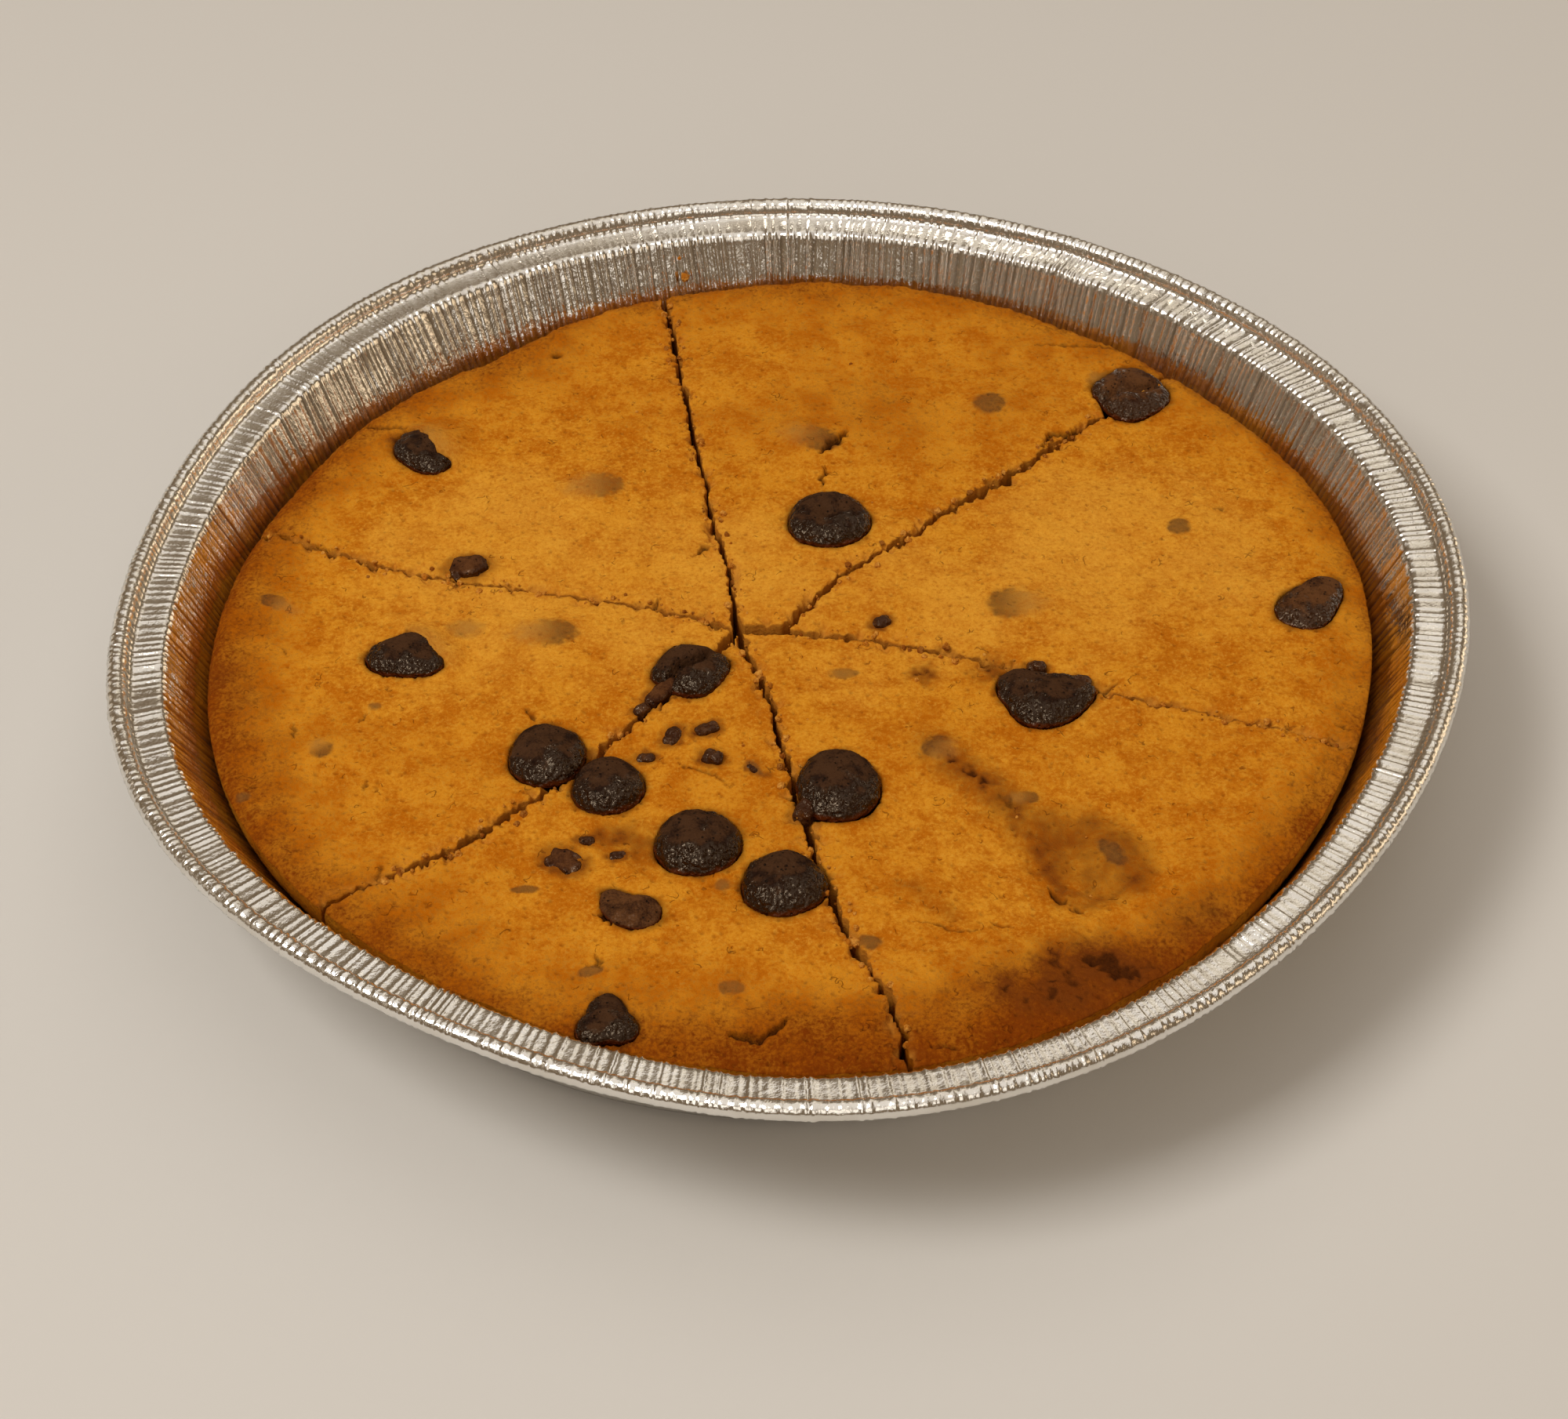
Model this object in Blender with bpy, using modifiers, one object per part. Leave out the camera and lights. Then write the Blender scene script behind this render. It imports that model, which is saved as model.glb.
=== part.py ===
"""A round chocolate chip cookie, cut into six, in the foil pan it was baked in.

Metres, +Z up. The origin is the centre of the pan's underside, on the table.
Lengths below are written in millimetres and turned into metres by MM.
Angles are in degrees, counted from +X towards +Y.
"""

import math
import random

import bmesh
import bpy
from mathutils import Matrix, Vector, noise

MM = 0.001

# Foil pan: a plain 8 inch round pan, 214 mm across its rolled edge
FOIL = 0.3
RIM_HEIGHT = 30.0
RIM_INNER_RADIUS = 98.8
FLOOR_RADIUS = 81.0
WALL_FOOT_RADIUS = 85.8
WALL_FOOT_HEIGHT = 4.0
BEAD_RADIUS = 1.9
BEAD_CENTRE_RADIUS = 105.25
BEAD_CENTRE_RISE = 0.65
BEAD_FIRST_ANGLE = 205.0
BEAD_LAST_ANGLE = -120.0
BEAD_SIDES = 8
PAN_STEPS = 84
PLEAT_DEPTH = 0.22

# Bends that handling left in the rim: waves round it, height in mm, angle of a crest
RIM_BENDS = ((2, 0.56, -45.0), (3, 0.61, 30.0), (4, 1.16, 17.7), (5, 0.66, -8.6), (6, 0.25, 22.0))
BEND_START = 1.5

# Cookie: a thick disc with a rounded shoulder, a little off the pan's centre
REST_GAP = 0.3
SIDE_GAP = 0.6
COOKIE_CENTRE = (0.7, -1.3)
COOKIE_RADIUS = 94.1
COOKIE_TOP = 23.5
SHOULDER_DROP = 3.4
SHOULDER_WIDTH = 6.5
COOKIE_STEPS = 72
RING_COUNT = 12
COOKIE_BASE = FOIL + REST_GAP

# Where the edge swells out or is nicked: angle, spread in degrees, mm
EDGE_SWELLS = (
    (13, 15, 1.4), (38, 20, -1.0), (78, 15, 1.9), (125, 6, -2.6),
    (152, 12, -0.8), (-157, 15, 0.9), (-22, 18, -0.5),
)

# The near right edge slopes away over a wider band: angle, spread, added width in mm
WIDE_SHOULDER = (-50.0, 30.0, 8.0)

# Skinned-over chips and sunk places on top: x, y, half length, half width, turn, rise
SWELLS = (
    (-32.7, 34.7, 5.4, 3.6, 0, 0.9), (-39.8, -1.7, 5.4, 3.6, 0, 0.9),
    (37.3, 2.0, 4.8, 3.8, 0, 0.8), (35.8, 54.0, 3.2, 3.2, 0, 0.8),
    (64.9, 19.6, 2.6, 2.4, 0, 0.7), (4.3, 46.3, 5.6, 3.6, -25, 0.9),
    (47.2, -52.8, 3.4, 3.0, 60, 1.0), (22.9, -31.0, 3.6, 2.6, -40, 0.6),
    (-73.5, -25.6, 2.4, 2.4, 0, 0.5), (-82.3, 7.3, 3.4, 2.0, -20, 0.6),
    (42.0, -53.0, 13.0, 11.0, 0, -1.3), (38.0, -77.0, 12.0, 5.0, 12, -0.7),
    (0.0, 0.0, 52.0, 52.0, 0, 0.7), (-25.0, -48.6, 4.0, 3.4, 0, -0.5),
)
UNEVENNESS = 0.35
UNEVEN_SIZE = 17.0

# Knife cuts, from edge to edge: x, y, width of the gap
HUB_LEFT = (-8.0, -1.7, 1.5)
HUB_RIGHT = (-1.0, -2.3, 1.4)
CUT_ACROSS = (
    (-104, 34.0, 0.9), (-84, 25.6, 0.9), (-69, 17.7, 0.8), (-52, 11.9, 0.7), (-30, 6.6, 0.6),
    (-19, 3.0, 0.8), HUB_LEFT, HUB_RIGHT, (14, -5.2, 0.9), (27, -9.6, 0.8), (47, -18.2, 0.7),
    (58, -21.6, 0.5), (70, -26.0, 0.5), (104, -39.0, 0.5),
)
CUT_AWAY = (
    (-22.5, 104, 1.2), (-19, 78.0, 1.2), (-15.2, 49.0, 1.0), (-12, 26.5, 0.9),
    (-9.2, 11.2, 1.0), HUB_LEFT, (-3, -19.5, 1.0), (0.2, -38.0, 1.3), (3.4, -54.5, 1.6),
    (7.8, -69.5, 1.2), (13, -80.4, 1.2), (17, -104, 1.0),
)
CUT_SLANT = (
    (-92, -74.0, 0.9), (-66.6, -57.3, 0.9), (-48.6, -46.6, 1.6), (-33.5, -33.0, 1.2),
    (-24, -21.5, 1.0), (-15.7, -11.9, 1.2), HUB_LEFT, HUB_RIGHT, (7.5, 9.2, 1.0),
    (23.9, 23.4, 1.1), (37.4, 34.4, 1.9), (51.6, 47.6, 1.0), (84, 76.0, 0.8),
)
CUT_STEP = 6.0
CUT_WANDER = 0.35
CUT_TOP = 32.0

# Whole chips: x, y, half length, half width, turn, rise over the cookie, and their form
CHIPS = (
    (7.3, 24.2, 6.8, 6.7, 0, 3.0, "pitted"),
    (60.4, 55.9, 6.4, 6.9, 0, 2.0, "split"),
    (84.0, 0.2, 6.6, 5.2, 50, 1.5, "leaf"),
    (39.3, -19.6, 7.5, 6.6, -8, 2.3, "heart"),
    (6.8, -38.4, 6.4, 7.4, 0, 3.2, "drop"),
    (-1.9, -58.3, 6.5, 6.4, 0, 3.2, "drop"),
    (-14.6, -49.3, 6.8, 6.8, 0, 3.2, "drop"),
    (-27.8, -36.9, 5.6, 6.0, 0, 3.2, "drop"),
    (-38.2, -29.4, 5.7, 6.8, 0, 2.9, "drop"),
    (-15.7, -11.5, 6.3, 5.8, 15, 2.6, "split"),
    (-60.6, -5.3, 6.3, 5.9, 10, 2.1, "leaf"),
    (-60.2, 47.0, 5.7, 7.2, -20, 2.1, "leaf"),
    (-27.6, -84.0, 4.8, 4.4, 90, 1.8, "wedge"),
    (-24.4, -61.9, 4.6, 4.1, -30, 1.1, "leaf"),
)
CHIP_DEPTH = 2.6
CHIP_SIDES = 13
CHIP_RINGS = 6
CHIP_FULLNESS = 0.85
CHIP_UNEVENNESS = (0.04, 0.18)
POCKET_GAP = 0.4

# Broken bits of chip that are baked into the top: x, y, half length, half width, rise
BITS = (
    (-13.2, -25.0, 1.9, 1.2, 0.7), (-12.3, -30.8, 1.8, 1.3, 0.8), (-18.4, -26.2, 2.0, 1.3, 0.6),
    (-6.6, -33.0, 1.6, 1.0, 0.5), (-22.6, -30.4, 1.4, 1.1, 0.5), (15.0, -1.2, 1.6, 1.1, 0.6),
    (-52.3, 15.6, 3.0, 2.4, 1.2), (-34.4, -52.4, 3.0, 2.2, 0.9), (-31.2, -47.0, 2.1, 1.1, 0.5),
    (10.6, -70.4, 1.9, 1.4, 0.6), (34.6, -41.6, 2.0, 1.4, 0.6), (-40.3, -57.0, 1.5, 0.9, 0.4),
    (-10.0, -77.6, 1.6, 1.2, 0.5), (8.4, -12.8, 2.2, 1.0, 0.4),
)

# Cracks and one small hole in the crust: x, y, half length, half width, turn, depth
CRACKS = (
    (9.0, 44.9, 3.9, 0.8, 55, 1.5), (6.7, 34.2, 2.2, 0.6, 88, 1.3),
    (-6.2, -86.6, 4.6, 1.0, 10, 1.6), (-69.6, 53.9, 2.6, 0.6, -8, 1.3),
    (-13.6, 17.6, 2.4, 0.6, 36, 1.2), (45.4, 43.6, 2.0, 0.6, 70, 1.2),
    (-39.3, 72.3, 1.1, 0.9, 0, 1.6), (-20.8, 6.4, 1.9, 0.5, 80, 1.1),
)


def gaussian(distance, spread):
    return math.exp(-0.5 * (distance / spread) ** 2)


def angle_between(a, b):
    """Smallest difference of two angles, in degrees."""
    return (a - b + 180.0) % 360.0 - 180.0


def in_patch_axes(x, y, patch_x, patch_y, turn):
    """A point seen from a patch that is turned by an angle."""
    c, s = math.cos(math.radians(turn)), math.sin(math.radians(turn))
    dx, dy = x - patch_x, y - patch_y
    return c * dx + s * dy, c * dy - s * dx


def collection(name, hidden=False):
    made = bpy.data.collections.new(name)
    bpy.context.scene.collection.children.link(made)
    made.hide_render = hidden
    return made


def finish(name, colour, roughness, metallic=0.0):
    made = bpy.data.materials.new(name)
    made.use_nodes = True
    shader = made.node_tree.nodes["Principled BSDF"]
    shader.inputs["Base Color"].default_value = (*colour, 1.0)
    shader.inputs["Roughness"].default_value = roughness
    shader.inputs["Metallic"].default_value = metallic
    return made


def add_object(name, bm, where, material=None):
    """A new object from a bmesh whose points are in millimetres."""
    bmesh.ops.scale(bm, vec=(MM, MM, MM), verts=bm.verts)
    mesh = bpy.data.meshes.new(name)
    bm.to_mesh(mesh)
    bm.free()
    made = bpy.data.objects.new(name, mesh)
    where.objects.link(made)
    if material:
        mesh.materials.append(material)
    if where.hide_render:
        made.hide_render = True
        made.display_type = "WIRE"
    return made


def apply_modifiers(target):
    """Turns what the modifiers make into the object's own mesh."""
    graph = bpy.context.evaluated_depsgraph_get()
    mesh = bpy.data.meshes.new_from_object(target.evaluated_get(graph))
    target.modifiers.clear()
    old = target.data
    target.data = mesh
    bpy.data.meshes.remove(old)


def turned(name, profile, steps, where, material):
    """Turns a profile of (radius, height) points, in millimetres, about +Z."""
    bm = bmesh.new()
    points = [bm.verts.new((radius, 0.0, height)) for radius, height in profile]
    for first, second in zip(points, points[1:]):
        bm.edges.new((first, second))
    made = add_object(name, bm, where, material)
    screw = made.modifiers.new("turn", "SCREW")
    screw.steps = steps
    screw.render_steps = steps
    screw.use_merge_vertices = True
    screw.merge_threshold = 0.0001 * MM
    apply_modifiers(made)
    return made


# Foil pan

def rim_bend(angle):
    """How far the rim is bent outwards at an angle in radians, in millimetres."""
    return sum(height * math.cos(waves * (angle - math.radians(crest)))
               for waves, height, crest in RIM_BENDS)


def wall_radius(angle, height):
    """Inner radius of the pan's wall, before its pleats."""
    share = min(max(height / RIM_HEIGHT, 0.0), 1.0)
    climb = (height - WALL_FOOT_HEIGHT) / (RIM_HEIGHT - WALL_FOOT_HEIGHT)
    straight = WALL_FOOT_RADIUS + climb * (RIM_INNER_RADIUS - WALL_FOOT_RADIUS)
    return straight + rim_bend(angle) * share ** BEND_START


def pan_profile():
    """Upper surface of the foil, from the middle of the floor to the end of the curl."""
    floor = [(0.0, FOIL), (FLOOR_RADIUS, FOIL), (0.5 * (FLOOR_RADIUS + WALL_FOOT_RADIUS) + 0.6, 1.3)]
    middle = 0.5 * (WALL_FOOT_HEIGHT + RIM_HEIGHT)
    wall = [(wall_radius(0.0, h) - rim_bend(0.0) * (h / RIM_HEIGHT) ** BEND_START, h)
            for h in (WALL_FOOT_HEIGHT, middle, RIM_HEIGHT - 1.2)]
    corner = [(RIM_INNER_RADIUS + 0.2, RIM_HEIGHT)]
    flange = [(BEAD_CENTRE_RADIUS - 3.0, RIM_HEIGHT - 0.15)]
    curl = []
    for i in range(BEAD_SIDES):
        share = i / (BEAD_SIDES - 1)
        angle = math.radians(BEAD_FIRST_ANGLE + share * (BEAD_LAST_ANGLE - BEAD_FIRST_ANGLE))
        curl.append((BEAD_CENTRE_RADIUS + BEAD_RADIUS * math.cos(angle),
                     RIM_HEIGHT + BEAD_CENTRE_RISE + BEAD_RADIUS * math.sin(angle)))
    return floor + wall + corner + flange + curl


def make_pan(where, material):
    """One sheet of foil: floor, pleated wall, ribbed flange and rolled edge."""
    pan = turned("pan", pan_profile(), PAN_STEPS, where, material)
    step = 2.0 * math.pi / PAN_STEPS
    for point in pan.data.vertices:
        x, y, z = point.co / MM
        radius, angle = math.hypot(x, y), math.atan2(y, x)
        if radius < 1.0:
            continue
        share = min(max(z / RIM_HEIGHT, 0.0), 1.0)
        pleat = PLEAT_DEPTH * (1 if round(angle / step) % 2 else -1)
        on_wall = WALL_FOOT_HEIGHT - 0.5 < z < RIM_HEIGHT - 0.5 and radius < RIM_INNER_RADIUS
        on_flange = RIM_INNER_RADIUS < radius < BEAD_CENTRE_RADIUS - 2.5 and z > 5.0
        radius += rim_bend(angle) * share ** BEND_START + (pleat if on_wall else 0.0)
        z += 0.5 * pleat if on_flange else 0.0
        point.co = Vector((radius * math.cos(angle), radius * math.sin(angle), z)) * MM
    floor = next(face for face in pan.data.polygons if face.center.length < FLOOR_RADIUS * MM)
    if floor.normal.z < 0:
        pan.data.flip_normals()
    sheet = pan.modifiers.new("foil", "SOLIDIFY")
    sheet.thickness = FOIL * MM
    sheet.offset = -1.0
    pan.data.shade_smooth()
    return pan


# Cookie

def edge_radius(angle):
    """Outer radius of the cookie about the pan's centre, at an angle in radians."""
    cx, cy = COOKIE_CENTRE
    towards = cx * math.cos(angle) + cy * math.sin(angle)
    across = cx * math.sin(angle) - cy * math.cos(angle)
    radius = towards + math.sqrt(COOKIE_RADIUS ** 2 - across ** 2)
    degrees = math.degrees(angle)
    return radius + sum(size * gaussian(angle_between(degrees, at), spread)
                        for at, spread, size in EDGE_SWELLS)


def shoulder_width(angle):
    at, spread, added = WIDE_SHOULDER
    return SHOULDER_WIDTH + added * gaussian(angle_between(math.degrees(angle), at), spread)


def top_height(x, y):
    """Height of the cookie's top over the table, with its swells and its rounded shoulder."""
    angle = math.atan2(y, x)
    inset = max(edge_radius(angle) - math.hypot(x, y), 0.0)
    share = min(inset / shoulder_width(angle), 1.0)
    drop = SHOULDER_DROP * (1.0 - math.sqrt(1.0 - (1.0 - share) ** 2.4))
    height = COOKIE_TOP - drop
    for px, py, half_x, half_y, turn, rise in SWELLS:
        u, v = in_patch_axes(x, y, px, py, turn)
        height += rise * math.exp(-0.5 * ((u / half_x) ** 2 + (v / half_y) ** 2)) * share
    bumps = noise.noise(Vector((x, y, 3.0)) / UNEVEN_SIZE) + 0.5 * noise.noise(Vector((x, y, 9.0)) / 7.0)
    return height + UNEVENNESS * bumps * share


def cookie_profile():
    """Underside, tapering side, shoulder rings and top rings of a plain round cookie."""
    side = [(0.0, COOKIE_BASE), (FLOOR_RADIUS - 1.2, COOKIE_BASE), (WALL_FOOT_RADIUS, 5.2),
            (0.5 * (WALL_FOOT_RADIUS + COOKIE_RADIUS), 12.0)]
    shoulder = [(COOKIE_RADIUS - inset, COOKIE_TOP) for inset in (0.0, 0.5, 1.7, 3.8, 7.5)]
    first = shoulder[-1][0]
    top = [(first * (1.0 - i / RING_COUNT), COOKIE_TOP) for i in range(1, RING_COUNT + 1)]
    return side + shoulder + top


def make_cookie(where, material):
    """The whole cookie before it is cut, as one closed body."""
    cookie = turned("cookie", cookie_profile(), COOKIE_STEPS, where, material)
    for point in cookie.data.vertices:
        x, y, z = point.co / MM
        radius, angle = math.hypot(x, y), math.atan2(y, x)
        if z > COOKIE_TOP - 0.5:
            radius *= edge_radius(angle) / COOKIE_RADIUS
            x, y = radius * math.cos(angle), radius * math.sin(angle)
            z = top_height(x, y)
        if radius > FLOOR_RADIUS - 2.0:
            room = wall_radius(angle, z) - PLEAT_DEPTH - SIDE_GAP
            radius = min(radius, room, edge_radius(angle))
            x, y = radius * math.cos(angle), radius * math.sin(angle)
        point.co = Vector((x, y, z)) * MM
    point_out(cookie)
    return cookie


def point_out(target):
    """Turns the faces of a closed body outwards."""
    bm = bmesh.new()
    bm.from_mesh(target.data)
    bmesh.ops.recalc_face_normals(bm, faces=bm.faces)
    if bm.calc_volume(signed=True) < 0:
        bmesh.ops.reverse_faces(bm, faces=bm.faces)
    bm.to_mesh(target.data)
    bm.free()


# Knife cuts

def cut_outline(path, rng):
    """Both ragged sides of a cut, as one closed outline of (x, y) points."""
    left, right = [], []
    for (x0, y0, gap0), (x1, y1, gap1) in zip(path, path[1:]):
        length = math.hypot(x1 - x0, y1 - y0)
        count = max(1, round(length / CUT_STEP))
        across = Vector((y0 - y1, x1 - x0)) / length
        for i in range(count):
            share = i / count
            middle = Vector((x0 + share * (x1 - x0), y0 + share * (y1 - y0)))
            half = 0.5 * (gap0 + share * (gap1 - gap0))
            wander = across * CUT_WANDER * rng.uniform(-1.0, 1.0)
            left.append(middle + across * half * rng.uniform(0.85, 1.3) + wander)
            right.append(middle - across * half * rng.uniform(0.85, 1.3) + wander)
    x, y, _ = path[-1]
    return left + [Vector((x, y))] + right[::-1]


def make_cut(name, path, rng, where):
    """A thin upright blade of waste, as wide as the gap that the knife left."""
    curve = bpy.data.curves.new(name, "CURVE")
    curve.dimensions = "2D"
    curve.fill_mode = "BOTH"
    curve.extrude = 0.5 * (CUT_TOP + 2.0) * MM
    outline = cut_outline(path, rng)
    spline = curve.splines.new("POLY")
    spline.points.add(len(outline) - 1)
    for point, place in zip(spline.points, outline):
        point.co = (place.x * MM, place.y * MM, 0.0, 1.0)
    spline.use_cyclic_u = True
    guide = bpy.data.objects.new(name + "_line", curve)
    where.objects.link(guide)
    guide.location.z = (0.5 * (CUT_TOP + 2.0) - 2.0) * MM
    bpy.context.view_layer.update()
    mesh = bpy.data.meshes.new_from_object(guide.evaluated_get(bpy.context.evaluated_depsgraph_get()))
    mesh.transform(guide.matrix_world)
    bpy.data.objects.remove(guide)
    bpy.data.curves.remove(curve)
    blade = bpy.data.objects.new(name, mesh)
    bm = bmesh.new()
    bm.from_mesh(mesh)
    bmesh.ops.remove_doubles(bm, verts=bm.verts, dist=0.00001)
    bm.to_mesh(mesh)
    bm.free()
    where.objects.link(blade)
    blade.hide_render = True
    blade.display_type = "WIRE"
    point_out(blade)
    return blade


# Chips

def chip_outline(form, angle):
    """How far the outline reaches at an angle, as a share of an ellipse."""
    if form == "heart":
        return 1.0 - 0.22 * gaussian(angle_between(math.degrees(angle), 100), 16) + 0.10 * math.cos(3 * angle)
    if form == "leaf":
        return 0.94 + 0.10 * math.cos(2 * angle) - 0.07 * math.cos(3 * angle)
    if form == "wedge":
        return 0.92 + 0.18 * math.cos(3 * angle)
    if form == "split":
        return 1.0 + 0.05 * math.cos(4 * angle + 0.6)
    return 1.0 + 0.03 * math.cos(3 * angle + 1.0)


def chip_dent(form, u, v):
    """How far a chip's top is sunk at a place in its own plan, from -1 to 1 each way."""
    if form == "pitted":
        return 0.5 * gaussian(math.hypot(u, v), 0.22)
    if form == "split":
        return 0.55 * gaussian(v - 0.25 * u, 0.2)
    if form == "heart":
        return 0.4 * gaussian(math.hypot(u + 0.15, v - 0.8), 0.35)
    if form == "leaf":
        return 0.25 * max(u, 0.0)
    return 0.0


def chip_body(chip, grow=0.0):
    """A softened chip: domed on top, sunk in the dough below, grown by a margin."""
    x, y, half_x, half_y, turn, rise, form = chip
    bm = bmesh.new()
    bmesh.ops.create_uvsphere(bm, u_segments=CHIP_SIDES, v_segments=CHIP_RINGS, radius=1.0)
    seat = top_height(x, y)
    for point in bm.verts:
        u, v, w = point.co
        angle = math.atan2(v, u)
        reach = chip_outline(form, angle)
        height = abs(w) ** CHIP_FULLNESS
        if w > 0.0:
            lift = (rise + grow) * height - rise * chip_dent(form, u, v) * height
        else:
            lift = -(CHIP_DEPTH + grow) * height
        reach *= 1.0 + CHIP_UNEVENNESS[0] * noise.noise(Vector((x + 3 * u, y + 3 * v, w)))
        lift += CHIP_UNEVENNESS[1] * noise.noise(Vector((x + 2 * u, y + 2 * v, 5.0))) * max(w, 0.0)
        point.co = (u * (half_x * reach + grow), v * (half_y * reach + grow), lift)
    bmesh.ops.rotate(bm, verts=bm.verts, matrix=Matrix.Rotation(math.radians(turn), 3, "Z"))
    bmesh.ops.translate(bm, verts=bm.verts, vec=(x, y, seat))
    return bm


def pebble(bm, x, y, half_x, half_y, half_z, height, turn):
    """Adds a low, faceted lump to a bmesh."""
    made = bmesh.ops.create_icosphere(bm, subdivisions=1, radius=1.0)["verts"]
    place = Matrix.Translation((x, y, height)) @ Matrix.Rotation(math.radians(turn), 4, "Z")
    size = Matrix.Diagonal((half_x, half_y, half_z, 1.0))
    bmesh.ops.transform(bm, matrix=place @ size, verts=made)


def cut_all(target, cutters, operation):
    """One Boolean of a whole collection on the target, applied."""
    cut = target.modifiers.new(operation.lower(), "BOOLEAN")
    cut.operation = operation
    cut.operand_type = "COLLECTION"
    cut.collection = cutters
    cut.solver = "EXACT"
    apply_modifiers(target)
    for cutter in list(cutters.objects):
        bpy.data.objects.remove(cutter)


def loose_bodies(target):
    """Splits an object into its separate bodies, each as a bmesh."""
    whole = bmesh.new()
    whole.from_mesh(target.data)
    left = set(whole.faces)
    found = []
    while left:
        stack = [left.pop()]
        body = set(stack)
        while stack:
            for edge in stack.pop().edges:
                for face in edge.link_faces:
                    if face in left:
                        left.remove(face)
                        body.add(face)
                        stack.append(face)
        found.append(body)
    pieces = []
    for body in found:
        piece = whole.copy()
        keep = {face.index for face in body}
        piece.faces.ensure_lookup_table()
        drop = [face for face in piece.faces if face.index not in keep]
        bmesh.ops.delete(piece, geom=drop, context="FACES")
        pieces.append(piece)
    whole.free()
    return pieces


def make_slices(cookie, where, material):
    """Names the six big bodies by their angle and drops any crumb-sized scrap."""
    pieces = []
    for bm in loose_bodies(cookie):
        if bm.calc_volume(signed=True) < (8.0 * MM) ** 3:
            bm.free()
            continue
        centre = sum((point.co for point in bm.verts), Vector()) / len(bm.verts)
        pieces.append((math.degrees(math.atan2(centre.y, centre.x)) % 360.0, bm))
    bpy.data.objects.remove(cookie)
    slices = []
    first = min(range(len(pieces)), key=lambda i: abs(angle_between(pieces[i][0], 10.0)))
    start = pieces[first][0]
    for number, (_, bm) in enumerate(sorted(pieces, key=lambda p: (p[0] - start) % 360.0), 1):
        bmesh.ops.scale(bm, vec=(1 / MM, 1 / MM, 1 / MM), verts=bm.verts)
        slices.append(add_object(f"slice_{number}", bm, where, material))
    return slices


def slice_at(slices, x, y):
    """The slice that lies under a place, found by a ray from above."""
    for piece in slices:
        hit, *_ = piece.ray_cast(Vector((x, y, 40.0)) * MM, Vector((0, 0, -1)))
        if hit:
            return piece
    return None


def add_bits(slices, where, rng):
    """Fuses the broken bits of chip to the slices that hold them."""
    for piece in slices:
        bm = bmesh.new()
        for x, y, half_x, half_y, rise in BITS:
            turn = rng.uniform(0.0, 180.0)
            if slice_at(slices, x, y) is piece:
                pebble(bm, x, y, half_x, half_y, rise + 0.5, top_height(x, y) - 0.4, turn)
        if bm.verts:
            add_object("bits", bm, where)
            cut_all(piece, where, "UNION")
        else:
            bm.free()


def main():
    for old in list(bpy.data.objects):
        bpy.data.objects.remove(old)
    rng = random.Random(6)
    parts = collection("chocolate_chip_cookie")
    cutters = collection("cutters", hidden=True)
    foil = finish("foil", (0.80, 0.79, 0.76), 0.28, 1.0)
    dough = finish("baked_dough", (0.48, 0.20, 0.045), 0.75)
    chocolate = finish("chocolate", (0.035, 0.013, 0.008), 0.3)

    make_pan(parts, foil)
    cookie = make_cookie(parts, dough)
    for name, path in (("across", CUT_ACROSS), ("away", CUT_AWAY), ("slant", CUT_SLANT)):
        make_cut(name, path, rng, cutters)
    for chip in CHIPS:
        add_object("pocket", chip_body(chip, POCKET_GAP), cutters)
    for x, y, half_x, half_y, turn, depth in CRACKS:
        bm = bmesh.new()
        pebble(bm, x, y, half_x, half_y, depth + 0.4, top_height(x, y) + 0.2, turn)
        add_object("crack", bm, cutters)
    cut_all(cookie, cutters, "DIFFERENCE")
    slices = make_slices(cookie, parts, dough)
    add_bits(slices, cutters, rng)
    for number, chip in enumerate(CHIPS, 1):
        made = add_object(f"chip_{number:02d}", chip_body(chip), parts, chocolate)
        made.data.shade_smooth()


main()
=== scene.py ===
# %% [markdown]
# # A chocolate chip cookie in its foil pan
# A thick cookie was baked in a round foil pan and then cut into six slices that still lie together.
# This script dresses the measured solids: every piece is made at its real size and in its real place.
# Lengths are written in millimetres, because a baker thinks of a 190 mm cookie, and MM turns them
# into Blender's metres when a mesh is made.

# %% Load the measured solids
import math
import bpy
import numpy as np
from mathutils import Matrix, Vector


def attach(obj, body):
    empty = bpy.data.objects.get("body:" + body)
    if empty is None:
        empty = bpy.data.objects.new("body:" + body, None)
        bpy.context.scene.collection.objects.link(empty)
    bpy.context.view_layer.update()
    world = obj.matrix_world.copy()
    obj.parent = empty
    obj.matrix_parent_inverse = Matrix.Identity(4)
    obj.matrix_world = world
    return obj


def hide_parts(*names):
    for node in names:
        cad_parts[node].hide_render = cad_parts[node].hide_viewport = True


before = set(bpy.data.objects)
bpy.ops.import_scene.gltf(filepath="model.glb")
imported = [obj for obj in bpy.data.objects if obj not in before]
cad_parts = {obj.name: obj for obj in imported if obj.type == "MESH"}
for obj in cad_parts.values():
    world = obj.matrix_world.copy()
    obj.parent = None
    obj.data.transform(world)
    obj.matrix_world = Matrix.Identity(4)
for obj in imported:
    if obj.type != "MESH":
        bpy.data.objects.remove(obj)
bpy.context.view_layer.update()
MM = 0.001

# %% [markdown]
# ## Sums written as sums
# A material is a tree of nodes. Placing each Math node by hand hides the idea, so one small class wraps
# a socket: `1 - mask` or `tone * 0.5 + grain` then adds the Math nodes by itself. The same class serves
# Geometry Nodes, since both kinds of tree have the same Math node.

# %% A socket that can be added, multiplied and mixed


def operator(operation, swapped=False):
    """A Python operator that adds one Math node."""
    def act(self, other):
        return self.math(operation, *((other, self) if swapped else (self, other)))
    return act


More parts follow.
